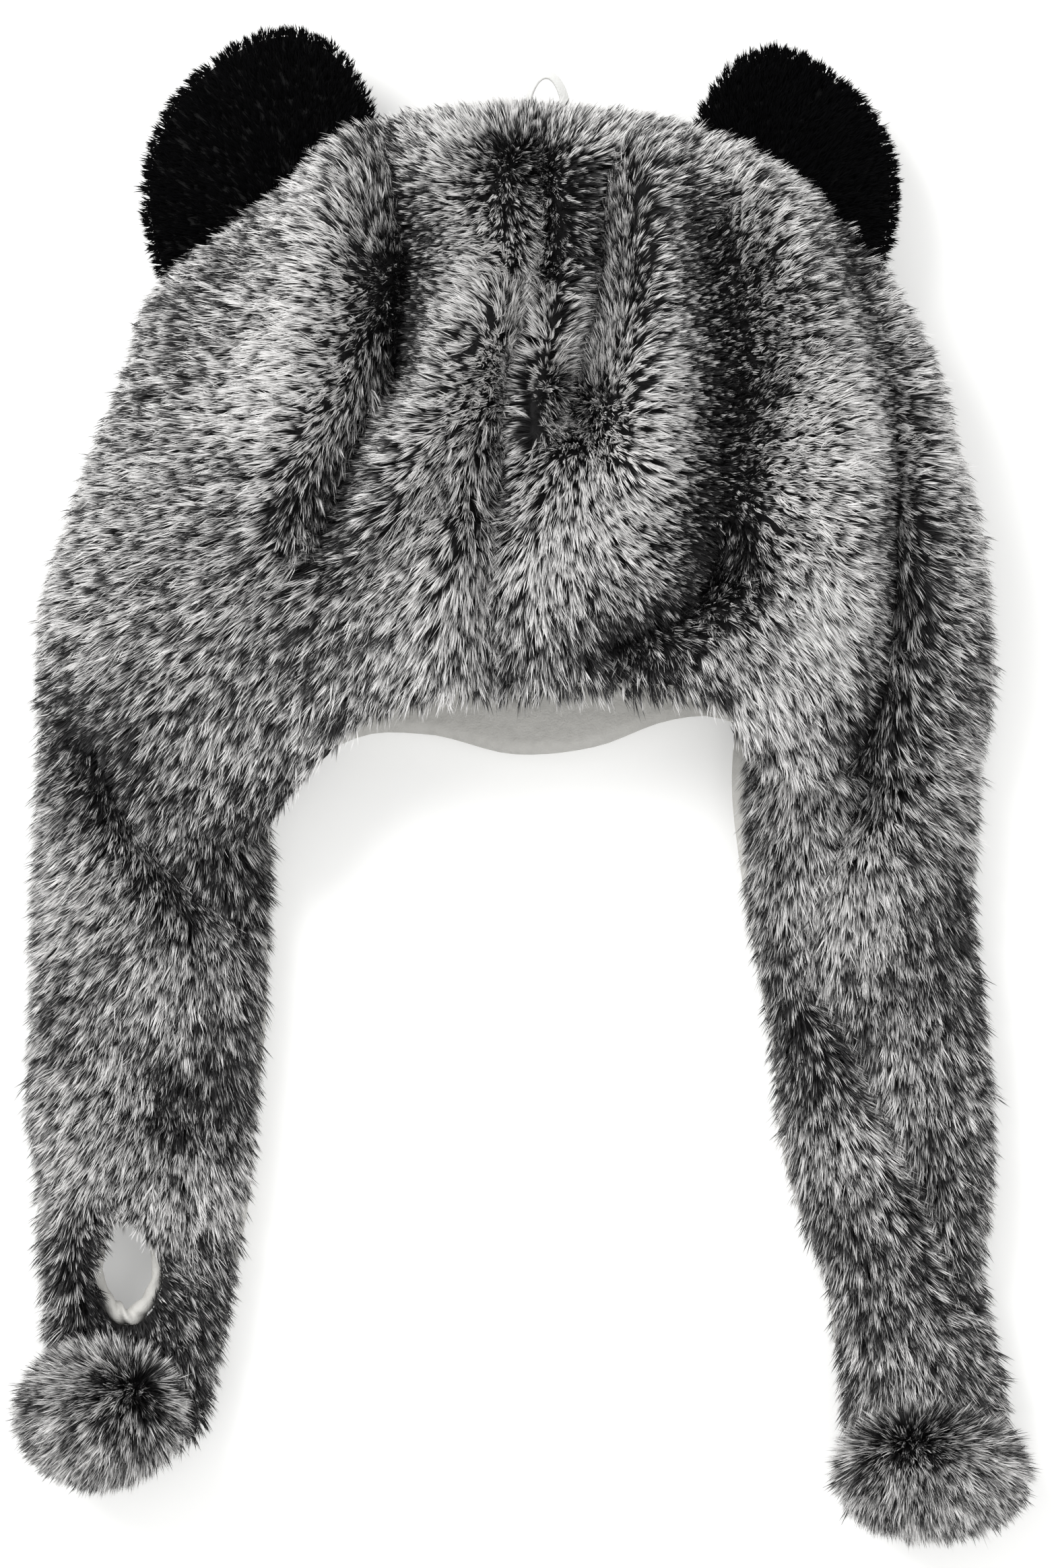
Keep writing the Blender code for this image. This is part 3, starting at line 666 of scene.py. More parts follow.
def fur_finish(colours):
    """Two-tone fur: dark at the root, through grey to a silver tip that starts earlier on lighter strands."""
    finish = Finish("silver_fur_pile")
    tone, along = strand_parts(finish)
    light = finish.step(along + (tone - 0.5) * 0.85, low=0.48, high=0.98)
    return finish.set(Base_Color=finish.mix(solid(colours.root), solid(colours.tip), light), Roughness=0.62)


def plush_finish(colours):
    """Black plush, a little lighter at the tips."""
    finish = Finish("black_plush_pile")
    tone, along = strand_parts(finish)
    light = finish.step(along * 0.7 + tone * 0.3, low=0.3, high=1.0) * 0.5
    tip = tuple(3 * part for part in colours.ears)
    shade = finish.mix(solid(colours.ears), solid(tip), light)
    return finish.set(Base_Color=shade, Roughness=0.8, Specular_IOR_Level=0.05)


def backing_finish(name, colour):
    """The knitted cloth under a pile, in the colour of the pile's roots."""
    finish = Finish(name)
    knit = finish.noise(scale=900.0, detail=2.0)
    return finish.set(Base_Color=solid(colour), Roughness=0.95, Normal=finish.bump(knit, distance=0.0004))


def fleece_finish(colours):
    """Short fleece: a pale cloth with fine matted fibres and faint darker flecks."""
    finish = Finish("fleece_cloth")
    fibres, matted = finish.noise(scale=1500.0, detail=4.0), finish.noise(scale=260.0, detail=3.0)
    darker = tuple(0.93 * part for part in colours.fleece)
    shade = finish.mix(solid(darker), solid(colours.fleece), finish.step(matted, low=0.30, high=0.62))
    height = finish.bump(fibres * 0.5 + matted, distance=0.0004)
    return finish.set(Base_Color=shade, Roughness=0.95, Normal=height)


def tape_finish(colours):
    """Woven tape, with ribs across it."""
    finish = Finish("loop_tape")
    ribs = finish.bump(finish.noise(scale=2200.0, detail=1.0), distance=0.0002)
    return finish.set(Base_Color=solid(colours.tape), Roughness=0.6, Normal=ribs)


def through(table, column, at):
    """A smooth curve through one column of a table.

    It is made of cubic pieces between the table's rows, with even slopes where they meet.
    """
    rows = np.array(table)
    where, value = rows[:, 0], rows[:, column]
    slope = np.gradient(value, where)
    at = np.clip(at, where[0], where[-1])
    row = np.clip(np.searchsorted(where, at) - 1, 0, len(where) - 2)
    span = where[row + 1] - where[row]
    t = (at - where[row]) / span
    start = (1 + 2 * t) * (1 - t) ** 2 * value[row] + t * (1 - t) ** 2 * span * slope[row]
    end = t**2 * (3 - 2 * t) * value[row + 1] - t**2 * (1 - t) * span * slope[row + 1]
    return start + end


def rounded(share, power):
    """1 in the middle, falling to 0 at a share of 1 either way along a superellipse."""
    return np.maximum(1 - np.abs(share) ** power, 0) ** (1 / power)


def eased(t, power):
    """0 to 1 in near-even steps that close up towards 1, and the same with minus signs below 0."""
    return (power * t - t * np.abs(t) ** (power - 1)) / (power - 1)


def signed_power(values, power):
    """Values to a power, with their signs kept."""
    return np.sign(values) * np.abs(values) ** power


def fold_sink(x, y, table, x_unit, y_unit):
    """Depth of a table's folds: for each line of three points, its sink times a bell curve of distance."""
    total = np.zeros(np.broadcast(x, y).shape)
    units = np.array([x_unit, y_unit] * 3 + [FOLD_DEPTH, FOLD_REACH])
    for x1, y1, x2, y2, x3, y3, sink, reach in (np.array(table) * units).tolist():
        nearest = np.full(total.shape, np.inf)
        for ax, ay, bx, by in ((x1, y1, x2, y2), (x2, y2, x3, y3)):
            length = (bx - ax) ** 2 + (by - ay) ** 2
            t = np.clip(((x - ax) * (bx - ax) + (y - ay) * (by - ay)) / length, 0, 1)
            nearest = np.minimum(nearest, np.hypot(x - ax - t * (bx - ax), y - ay - t * (by - ay)))
        total += sink * np.exp(-((nearest / reach) ** 2))
    return total


def crown_sink(x, y):
    """Depth of the crown's folds at a place in the hat."""
    return fold_sink(x, y, CROWN_FOLDS, HALF_WIDTH, CROWN_HEIGHT)


def crown_half(across, up, inset):
    """The crown's half width: its sections' share of the hat's, times a superellipse of the height."""
    share = np.where(across < 0, through(CROWN_SECTIONS, 1, up), through(CROWN_SECTIONS, 2, up))
    return (HALF_WIDTH * share - inset) * rounded(up, 2.4)


def rim_height(x, front):
    """Y of the rim: the rim line, below which it hangs, read across the hat for the front or the back."""
    across = np.clip(x / HALF_WIDTH, -1, 1)
    drop = np.where(front, through(RIM_LINE, 1, across), through(RIM_LINE, 2, across))
    return RIM_Y - CROWN_HEIGHT * drop


def crown_grid(across, front, rows, inset, raised, top):
    """The crown's skin, drawn in by inset, as rows from the rim to the top of columns at across.

    Its half width is a table's share times a superellipse of the height. The front is the side fold's height
    plus a loft that is a product of two superellipses, less the folds. The back sinks from the side fold to
    the floor. raised lifts the rim, and top is the share of the way up at which the last row lies.
    """
    t = np.linspace(0, top, rows)[:, None]
    height = CROWN_HEIGHT - inset
    rim = rim_height(across * crown_half(across, 0.0, inset), front) + raised
    y = rim + (RIM_Y + height - rim) * eased(t, 6)
    up = np.clip((y - RIM_Y) / height, 0, 1)
    x = across * crown_half(across, up, inset)
    profile = rounded(across, 2.3) * rounded(up, 2.6)
    side = SIDE_FOLD_HEIGHT * through(CROWN_SECTIONS, 4, up)
    loft = (LOFT * through(CROWN_SECTIONS, 3, up) - inset) * profile
    over = side + loft - crown_sink(x, y) * np.minimum(1, 1.6 * profile)
    under = side + (inset - side) * np.minimum(1, 1.5 * profile)
    return np.stack([x, y, np.where(front, over, under)], axis=-1)


def round_the_crown(columns):
    """Columns once round the crown, over the front and back behind, and which of them are in front."""
    over = eased(np.linspace(-1, 1, columns), 5)
    across = np.concatenate([over, over[::-1][1:-1]])
    return across, np.arange(len(across)) < columns


def mouth_share(across):
    """1 over the mouth and 0 where the crown is sewn to a flap."""
    return rounded(np.clip((across - 0.035) / 0.44, -1, 1), 4)


def flap_middle(side, sections, down):
    """X of a flap's middle line: half its width in from the crown's edge, plus the drift of its sections."""
    column = 1 if side < 0 else 2
    edge = HALF_WIDTH * CROWN_SECTIONS[0][column] - FLAP_EDGE_INSET
    return side * (edge - FLAP_WIDTH * sections[0][2] / 2 + FLAP_WIDTH * through(sections, 1, down))


def flap_y(x, down):
    """Y at a share of the way down a flap, from a little above the crown's rim to the flap's end."""
    rim = rim_height(x, True) + FLAP_ROOT
    return rim + (RIM_Y - FLAP_LENGTH - rim) * down


def flap_grid(label, across, over, rows, inset):
    """A flap's skin, drawn in by inset, and the depth of its creases.

    It has rows from the root to the end, of columns at across, which is 1 at the outer edge. The upper skin
    is the fold's height plus a loft times a superellipse, less the creases, and the lower skin sinks from the
    fold to the floor.
    """
    side, sections, creases = FLAPS[label]
    down = eased(np.linspace(0, 1, rows)[:, None], 8) * (1 - inset / FLAP_LENGTH)
    half = FLAP_WIDTH * through(sections, 2, down) / 2 - inset
    x = flap_middle(side, sections, down) + side * across * half
    y = flap_y(x, down)
    profile = rounded(across, 2.4)
    loft = (FLAP_THICKNESS * through(sections, 3, down) - FLAP_FOLD_HEIGHT - inset) * profile
    place = down * FLAP_LENGTH, across * FLAP_WIDTH / 2
    sink = fold_sink(*place, creases, FLAP_LENGTH, FLAP_WIDTH / 2) * profile
    under = FLAP_FOLD_HEIGHT + (inset - FLAP_FOLD_HEIGHT) * np.minimum(1, 1.5 * profile)
    return np.stack([x, y, np.where(over, FLAP_FOLD_HEIGHT + loft - sink, under)], axis=-1), sink


def slot_centre():
    """X and y of the slot's middle, from its share of the way down and across the left flap."""
    half = FLAP_WIDTH * float(through(LEFT_FLAP, 2, SLOT_DOWN)) / 2
    x = float(flap_middle(-1, LEFT_FLAP, SLOT_DOWN)) - SLOT_ACROSS * half
    return x, RIM_Y - FLAP_LENGTH * SLOT_DOWN


def around(columns):
    """Columns once round a flat pad, over the top and back underneath, and which of them are on top."""
    over = eased(np.linspace(1, -1, columns // 2 + 1), 4)
    return np.concatenate([over, over[-2:0:-1]]), np.arange(columns) <= columns // 2


def new_object(name, mesh, material):
    """An object at the origin that rides on the hat's one body."""
    mesh.materials.append(material)
    piece = bpy.data.objects.new(name, mesh)
    bpy.context.scene.collection.objects.link(piece)
    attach(piece, "root")
    return piece


def smooth_piece(name, points, faces, material):
    """A piece of points and faces, shaded smooth."""
    mesh = bpy.data.meshes.new(name)
    mesh.from_pydata(points.tolist(), [], faces)
    mesh.shade_smooth()
    return new_object(name, mesh, material)


def inside_out(points, quads):
    """Whether faces point inwards: the volume that they close, a sum of triple products, is then negative."""
    a, b, c, d = (points[quads[:, i]] for i in range(4))
    return np.sum(a * np.cross(b, c)) + np.sum(a * np.cross(c, d)) < 0


def lofted(name, rings, ends, material):
    """A closed body: rings of points joined in order, each end closed by a fan to one point."""
    rows, count = rings.shape[:2]
    grid = np.arange(rows * count).reshape(rows, count)
    after = np.roll(grid, -1, axis=1)
    quads = np.stack([grid[:-1], after[:-1], after[1:], grid[1:]], axis=-1).reshape(-1, 4)
    first = np.stack([after[0], grid[0], np.full(count, rows * count)], axis=-1)
    last = np.stack([grid[-1], after[-1], np.full(count, rows * count + 1)], axis=-1)
    points = np.vstack([rings.reshape(-1, 3), np.reshape(ends, (2, 3))])
    faces = [quads, first, last]
    if inside_out(points, quads):
        faces = [part[:, ::-1] for part in faces]
    return smooth_piece(name, points, [face for part in faces for face in part.tolist()], material)


def middle_ends(rings):
    """The middles of the first and the last ring."""
    return [rings[0].mean(axis=0), rings[-1].mean(axis=0)]


def cloth(name, outer, inner, material):
    """A cloth with a thickness: two grids of points as its faces, and a strip that joins their edges."""
    rows, columns = outer.shape[:2]
    near = np.arange(rows * columns).reshape(rows, columns)
    skin = np.stack([near[:-1, :-1], near[:-1, 1:], near[1:, 1:], near[1:, :-1]], axis=-1).reshape(-1, 4)
    back = skin[:, ::-1] + rows * columns
    edge = np.concatenate([near[0], near[1:, -1], near[-1, -2::-1], near[-2:0:-1, 0]])
    following = np.roll(edge, -1)
    rim = np.stack([following, edge, edge + rows * columns, following + rows * columns], axis=-1)
    points = np.vstack([outer.reshape(-1, 3), inner.reshape(-1, 3)])
    faces = np.vstack([skin, back, rim])
    if inside_out(points, faces):
        faces = faces[:, ::-1]
    return smooth_piece(name, points, faces.tolist(), material)


def normals_of(grid, outward):
    """Unit normals: the cross product of the grid's two directions, turned to the side of outward."""
    normal = np.cross(np.gradient(grid, axis=0), np.gradient(grid, axis=1))
    normal /= np.maximum(np.linalg.norm(normal, axis=2, keepdims=True), 1e-12)
    return normal * np.sign(np.sum(normal * outward))


def unit(vectors):
    """Vectors brought to a length of 1."""
    return vectors / np.maximum(np.linalg.norm(vectors, axis=-1, keepdims=True), 1e-12)


def scattered(grid, weight, count, rng):
    """Random places spread evenly by area times weight: the cell of each, and its place in the cell."""
    a, b, c, d = grid[:-1, :-1], grid[1:, :-1], grid[1:, 1:], grid[:-1, 1:]
    area = np.linalg.norm(np.cross(c - a, d - b), axis=2) * weight[:-1, :-1]
    share = np.cumsum(area)
    cell = np.searchsorted(share, (np.arange(count) + rng.random(count)) / count * share[-1])
    row, column = np.divmod(np.minimum(cell, share.size - 1), grid.shape[1] - 1)
    return row, column, rng.random(count)[:, None], rng.random(count)[:, None]


def blended(field, places):
    """A field's value at scattered places, between the four corners of the cell."""
    row, column, down, across = places
    near = field[row, column] * (1 - across) + field[row, column + 1] * across
    far = field[row + 1, column] * (1 - across) + field[row + 1, column + 1] * across
    return near * (1 - down) + far * down


def even_fields(grid, lift, share, tone):
    """The same lift, length share and tone all over a grid."""
    return np.stack([np.full(grid.shape[:2], value) for value in (lift, share, tone)], axis=-1)


def pile(name, grid, outward, comb, fields, weight, length, sizes, material, gather=0.82, spread=1.0):
    """A pile of strands rooted on a grid, gathered into tufts.

    A tuft stands at a scattered place and points along the comb's direction in the cloth, raised by the lift.
    Its strands are rooted in a disc round it and close up towards its tip by the share gather, less so where
    the cloth is steep. A strand is a leaf of two triangles, with points at its root and tip and its full
    width at a bowed middle. fields has lift in radians, length share and tone in its layers. spread scales
    how far the strands stray from the comb.
    """
    count, seed = STRANDS[name]
    rng = np.random.default_rng(seed)
    tufts = count // sizes.gathered
    count = tufts * sizes.gathered

    def stray(amount, number):
        """Random strays round 0, one for each tuft or strand."""
        return rng.normal(0, amount, (number, 1))

    places = scattered(grid, weight, tufts, rng)
    root = blended(grid, places)
    up = unit(blended(normals_of(grid, outward), places))
    along = blended(comb, places)
    along = unit(along - np.sum(along * up, axis=1, keepdims=True) * up)
    beside = np.cross(up, along)
    values = blended(fields, places)
    turn = stray(TUFT_TURN * spread, tufts)
    lift = values[:, :1] + stray(TUFT_LIFT * spread, tufts)
    long = length * values[:, 1:2] * (1 + stray(TUFT_LENGTH, tufts))
    tone = values[:, 2:3] + stray(TUFT_TONE, tufts)
    gather = gather * (0.45 + 0.55 * np.abs(up[:, 2:]))
    of_tufts = (root, up, along, beside, turn, lift, long, tone, gather)
    root, up, along, beside, turn, lift, long, tone, gather = (
        np.repeat(part, sizes.gathered, axis=0) for part in of_tufts
    )
    away, angle = np.sqrt(rng.random((count, 1))) * sizes.tuft, rng.random((count, 1)) * 2 * math.pi
    offset = away * (np.cos(angle) * along + np.sin(angle) * beside)
    turn = turn + stray(STRAND_TURN * spread, count)
    lift = lift + stray(STRAND_LIFT * spread, count)
    long = long * (0.70 + 0.30 * rng.random((count, 1)))
    tone = tone + stray(STRAND_TONE, count)
    way = (np.cos(turn) * along + np.sin(turn) * beside) * np.cos(lift) + np.sin(lift) * up
    start = root + offset - ROOT_DEPTH * up
    tip = root + (1 - gather) * offset + way * long
    middle = (start + tip) / 2 + STRAND_BOW * long * up - STRAND_HANG * long * along
    twist = stray(STRAND_TWIST, count)
    flat = unit(np.cross(tip - start, up))
    flat = np.cos(twist) * flat + np.sin(twist) * unit(np.cross(flat, tip - start))
    varied = 0.7 + 0.6 * rng.random((count, 1))
    wide = sizes.strand / 2 * varied * (0.85 + 0.5 * np.abs(np.sin(lift))) * flat
    points = np.stack([start, middle - wide, middle + wide, tip], axis=1)
    points[:, :, 2] = np.maximum(points[:, :, 2], FLOOR_GAP)
    return strands(name, points, np.clip(tone[:, 0], 0, 1), material)


def strands(name, points, tone, material):
    """Leaves as one mesh. Its map holds a strand's tone from left to right and root to tip from below."""
    count = len(points)
    corners = np.array([0, 2, 1, 1, 2, 3])
    mesh = bpy.data.meshes.new(name)
    mesh.vertices.add(4 * count)
    mesh.vertices.foreach_set("co", points.astype(np.float32).ravel())
    mesh.loops.add(6 * count)
    mesh.loops.foreach_set("vertex_index", (4 * np.arange(count)[:, None] + corners).astype(np.int32).ravel())
    mesh.polygons.add(2 * count)
    mesh.polygons.foreach_set("loop_start", (3 * np.arange(2 * count)).astype(np.int32))
    left = 0.97 * tone[:, None] + 0.03 * np.array([0.5, 1, 0, 0, 1, 0.5])
    high = np.broadcast_to([0.0, 0.5, 0.5, 0.5, 0.5, 1.0], left.shape)
    layer = mesh.uv_layers.new(name="OFBake")
    layer.uv.foreach_set("vector", np.stack([left, high], axis=-1).astype(np.float32).ravel())
    mesh.update(calc_edges=True)
    mesh.shade_smooth()
    return new_object(name, mesh, material)


def pile_comb(x, y):
    """Way, lift and tone of the front's pile, from the comb table.

    They are the means of the table's rows, weighted by a bell curve of their distance. Where the rows near a
    place disagree, the pile is parted, and it stands up there.
    """
    rows = np.array(PILE_COMB)
    away = np.hypot(x[..., None] / HALF_WIDTH - rows[:, 0], 1.3 * (y[..., None] / CROWN_HEIGHT - rows[:, 1]))
    share = np.exp(-((away / COMB_REACH) ** 2)) + 1e-9
    share /= share.sum(axis=-1, keepdims=True)
    way = np.radians(rows[:, 2])
    right, up = share @ np.cos(way), share @ np.sin(way)
    parted = 1 - np.hypot(right, up)
    comb = np.stack([right, up, -0.45 * (1 - parted)], axis=-1)
    return comb, np.radians(share @ rows[:, 3]) + PARTED_LIFT * parted, share @ rows[:, 4]


def front_pile_fields(grid, length, fold=None):
    """Comb, fields and weight of the front's pile.

    The pile stands up and gets painted shade in a fold, and lies flatter with painted light on a ridge. It is
    longer where it lies and towards the rim, and denser where it stands or is parted. A product of waved
    sines adds faint patches. A tuft shows some way from its root, so its lift and tone, and the crown's fold,
    are taken there.
    """
    comb, lift, _ = pile_comb(grid[..., 0], grid[..., 1])
    parted = 1 - np.hypot(comb[..., 0], comb[..., 1])
    lean = 0.65 * length * np.cos(lift)
    x, y = grid[..., 0] + comb[..., 0] * lean, grid[..., 1] + comb[..., 1] * lean
    _, lift, tone = pile_comb(x, y)
    if fold is None:
        fold = crown_sink(x, y) / FOLD_DEPTH
    sunk, raised = np.clip(fold, 0, 1), np.clip(-fold, 0, 1)
    lift = lift + EXTRA_LIFT + FOLD_LIFTS * sunk
    patch = np.sin(310 * x + 2 * np.sin(170 * y)) * np.sin(240 * y + 2 * np.sin(190 * x))
    # painted shade: tone falls in a fold and where the comb table sets it dark; painted light: tone rises on
    # a ridge
    tone = MIDDLE_TONE + TONE_GAIN * tone - FOLD_PAINTED_SHADE * sunk + RIDGE_PAINTED_LIGHT * raised + PATCH_TONE * patch
    share = np.minimum(1, 0.70 / np.maximum(np.sin(lift), 0.3)) * (1 - 0.22 * sunk + 0.10 * raised)
    share = share * (1 + 0.20 * np.clip(-grid[..., 1] / RIM_OFFSET, -0.5, 0.6))
    weight = 0.55 + 0.75 * np.sin(lift) + 1.2 * parted
    return comb, np.stack([lift, share + 0.3 * parted, tone], axis=-1), weight


def make_crown(sizes, colours):
    """The crown's backing, two skins joined at the rim, and its pile on the front's halves and the back."""
    fur, knit = fur_finish(colours), backing_finish("fur_backing", colours.root)
    across, front = round_the_crown(61)
    raised = RIM_RAISE + MOUTH_RAISE * mouth_share(across)
    outer = crown_grid(across, front, 40, CROWN_PILE_DEPTH, raised, BODY_TOP)
    inner = crown_grid(across, front, 24, FUR_WALL - WALL_SLACK, raised, BODY_TOP)
    ends = [(0.0, TOP_Y - depth, SIDE_FOLD_HEIGHT) for depth in (CROWN_PILE_DEPTH, FUR_WALL)]
    backing = lofted("crown_backing", np.vstack([outer[::-1], inner]), ends, knit)
    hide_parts("crown")

    for name, low, high in (("crown_pile_left", -1, PILE_SEAM), ("crown_pile_right", PILE_SEAM, 1)):
        columns = signed_power(np.linspace(low, high, 91), 0.8)
        raised = RIM_RAISE + MOUTH_RAISE * mouth_share(columns)
        grid = crown_grid(columns, True, 141, CROWN_PILE_DEPTH, raised, PILE_TOP)
        part = pile(name, grid, UP, *front_pile_fields(grid, sizes.pile), sizes.pile, sizes, fur)

    columns = eased(np.linspace(-1, 1, 91), 3)
    raised = RIM_RAISE + BACK_MOUTH_RAISE * mouth_share(columns)
    grid = crown_grid(columns, False, 101, CROWN_PILE_DEPTH, raised, PILE_TOP)
    none = 0 * grid[..., 0]
    comb = np.stack([grid[..., 0] / HALF_WIDTH, -0.8 + none, 0.5 + none], axis=-1)
    fields = even_fields(grid, lift=0.36, share=0.95, tone=0.5)
    part = pile("crown_pile_back", grid, -UP, comb, fields, 1 + none, sizes.pile, sizes, fur)


def make_crown_lining(colours):
    """The lining follows the fur wall's inner face, and swells a little between its seams."""
    across, front = round_the_crown(71)
    start, wall = FUR_WALL + LINING_GAP, FUR_WALL + LINING_GAP + LINING_WALL
    raised = 0.004 + 0.005 * mouth_share(across) * front - 0.0025 * mouth_share(across) * ~front
    outer = crown_grid(across, front, 30, start, raised, BODY_TOP)
    inner = crown_grid(across, front, 50, wall, raised, BODY_TOP)
    wave = np.sin(95 * inner[..., 0] + 2.0) * np.sin(120 * inner[..., 1]) * 0.0005
    inner[..., 2] += np.where(front, -1, 1) * np.abs(wave)
    ends = [(0.0, TOP_Y - depth, SIDE_FOLD_HEIGHT) for depth in (start, wall)]
    lining = lofted("crown_fleece", np.vstack([outer[::-1], inner]), ends, fleece_finish(colours))
    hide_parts("crown_lining")


def cut_slot(piece):
    """Cuts the slot's ellipse through a piece."""
    x, y = slot_centre()
    turn = np.linspace(0, 2 * math.pi, 64, endpoint=False)
    ring = np.stack([x + SLOT_WIDTH / 2 * np.cos(turn), y + SLOT_LENGTH / 2 * np.sin(turn)], axis=-1)
    rings = np.stack([np.column_stack([ring, np.full(len(ring), z)]) for z in (-0.02, 0.06)])
    cutter = lofted("slot_room", rings, middle_ends(rings), piece.data.materials[0])
    modifier = piece.modifiers.new("slot", "BOOLEAN")
    modifier.operation = "DIFFERENCE"
    modifier.solver = "EXACT"
    modifier.object = cutter
    cut = bpy.data.meshes.new_from_object(piece.evaluated_get(bpy.context.evaluated_depsgraph_get()))
    piece.modifiers.remove(modifier)
    piece.data = cut
    bpy.data.objects.remove(cutter, do_unlink=True)


def comb_by_slot(comb, fields, right, above):
    """Turns the upper pile by the slot: away from it below and to the right, and over it on its left side.

    right and above are counted from the slot's middle in its half sizes. Each turn is a product of a bell
    curve of the distance to the slot and straight ramps. The pile over its left side gets painted shade.
    """
    near = np.exp(-((np.maximum(np.hypot(right, above) - 1, 0) / 0.45) ** 2))
    aside = near * np.clip(0.5 - above, 0, 1) * np.clip(0.8 + right, 0, 1)
    over_it = near * np.clip(-right, 0, 1)
    comb[..., :2] += 2.2 * aside[..., None] * np.stack([right, above], axis=-1)
    comb[..., 0] += 2.0 * over_it
    fields[..., 0] += 0.25 * over_it
    fields[..., 1] *= 1 - 0.30 * near * (1 - over_it)
    # painted shade on the pile that leans over the slot's left side
    fields[..., 2] -= 0.20 * over_it


def make_flap(label, sizes, colours):
    """A flap's backing, one cloth folded round it lengthwise, and its pile above and underneath."""
    side = FLAPS[label][0]
    fur, knit = fur_finish(colours), backing_finish("fur_backing", colours.root)
    bend = 0.97 * eased(np.linspace(-1, 1, 33), 4)
    across = np.concatenate([bend, bend[::-1][1:]])
    over = np.arange(len(across)) < len(bend)
    outer, inner = (
        flap_grid(label, across, over, 50, inset)[0]
        for inset in (FLAP_PILE_DEPTH, FLAP_PILE_DEPTH + KNIT_THICKNESS)
    )
    backing = cloth(f"flap_{label}_backing", outer, inner, knit)
    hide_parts(f"flap_{label}")
    if side < 0:
        cut_slot(backing)

    for layer, top in (("over", True), ("under", False)):
        columns = signed_power(np.linspace(-1, 1, 61), 0.7)
        grid, sink = flap_grid(label, columns, top, 131, FLAP_PILE_DEPTH)
        if top:
            comb, fields, weight = front_pile_fields(grid, sizes.pile, CREASE_SHADE * sink / FOLD_DEPTH)
        else:
            wide = np.broadcast_to(columns, grid.shape[:2])
            comb = np.stack([side * 0.6 * wide, 0 * wide - 1, 0 * wide + 0.35], axis=-1)
            fields, weight = even_fields(grid, lift=0.36, share=1.0, tone=0.5), 1 + 0 * wide
        if side < 0:
            x, y = slot_centre()
            right, above = (grid[..., 0] - x) / (SLOT_WIDTH / 2), (grid[..., 1] - y) / (SLOT_LENGTH / 2)
            weight = np.where(np.hypot(right, above) < SLOT_BARE, 0.0, weight)
            if top:
                comb_by_slot(comb, fields, right, above)
        name, outward = f"flap_{label}_pile_{layer}", UP if top else -UP
        part = pile(name, grid, outward, comb, fields, weight, sizes.pile, sizes, fur)


def make_flap_fleece(label, colours):
    """The fleece in a flap: a flat strip between its two layers, with a gently waved inner edge."""
    side, sections, _ = FLAPS[label]
    down = np.linspace(0, FLEECE_END, 70)[:, None]
    half = FLAP_WIDTH * through(sections, 2, down) / 2
    inner = half + FLAP_WIDTH * through(sections, 4, down) + 0.0005 * np.sin(23 * down)
    outer = half - FLEECE_MARGIN
    share = np.linspace(0, 1, 18)
    x = flap_middle(side, sections, down) + side * (outer + (-inner - outer) * share)
    y = flap_y(x, down)
    wave = 0.0006 * np.sin(60 * x + 90 * y) * np.sin(np.pi * share) ** 2
    thick = FLEECE_THICKNESS / 2 * rounded(0.98 * (2 * share - 1), 9)
    over, under = (np.stack([x, y, FLAP_FOLD_HEIGHT + wave + part], axis=-1) for part in (thick, -thick))
    fleece = cloth(f"flap_{label}_fleece", over, under, fleece_finish(colours))
    if side < 0:
        cut_slot(fleece)
    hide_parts(f"flap_lining_{label}")


def make_slot_hem(colours):
    """The slot's rolled hem: a lumpy tube along an ellipse, thicker and folded where the fleece bunches."""
    x, y = slot_centre()
    steps, corners = 120, 24
    turn = np.linspace(0, 2 * math.pi, steps, endpoint=False)[:, None]
    round_it = np.linspace(0, 2 * math.pi, corners, endpoint=False)
    below = np.maximum(0, -np.sin(turn)) ** 2
    radius = HEM_RADIUS * (1 + 0.55 * below + 0.07 * np.sin(5 * turn))
    away = radius + LINING_GAP
    lump = 1 + below * 0.22 * np.sin(9 * turn + 2 * round_it) + 0.08 * np.sin(14 * turn + 3 * round_it)
    path_x, path_y = (SLOT_WIDTH / 2 - away) * np.cos(turn), (SLOT_LENGTH / 2 - away) * np.sin(turn)
    reach = radius * lump * np.cos(round_it)
    rise = radius * lump * np.sin(round_it) * (1 + 0.6 * below)
    z = BINDING_HEIGHT + 0.0007 * np.sin(3 * turn) + rise
    rings = np.stack([x + path_x + reach * np.cos(turn), y + path_y + reach * np.sin(turn), z], axis=-1)
    points = np.transpose(rings, (1, 0, 2)).reshape(-1, 3)
    grid = np.arange(corners * steps).reshape(corners, steps)
    after, below_it = np.roll(grid, -1, axis=1), np.roll(grid, -1, axis=0)
    faces = np.stack([grid, after, np.roll(below_it, -1, axis=1), below_it], axis=-1).reshape(-1, 4)
    hem = smooth_piece("slot_hem", points, faces.tolist(), fleece_finish(colours))
    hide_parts("slot_binding")


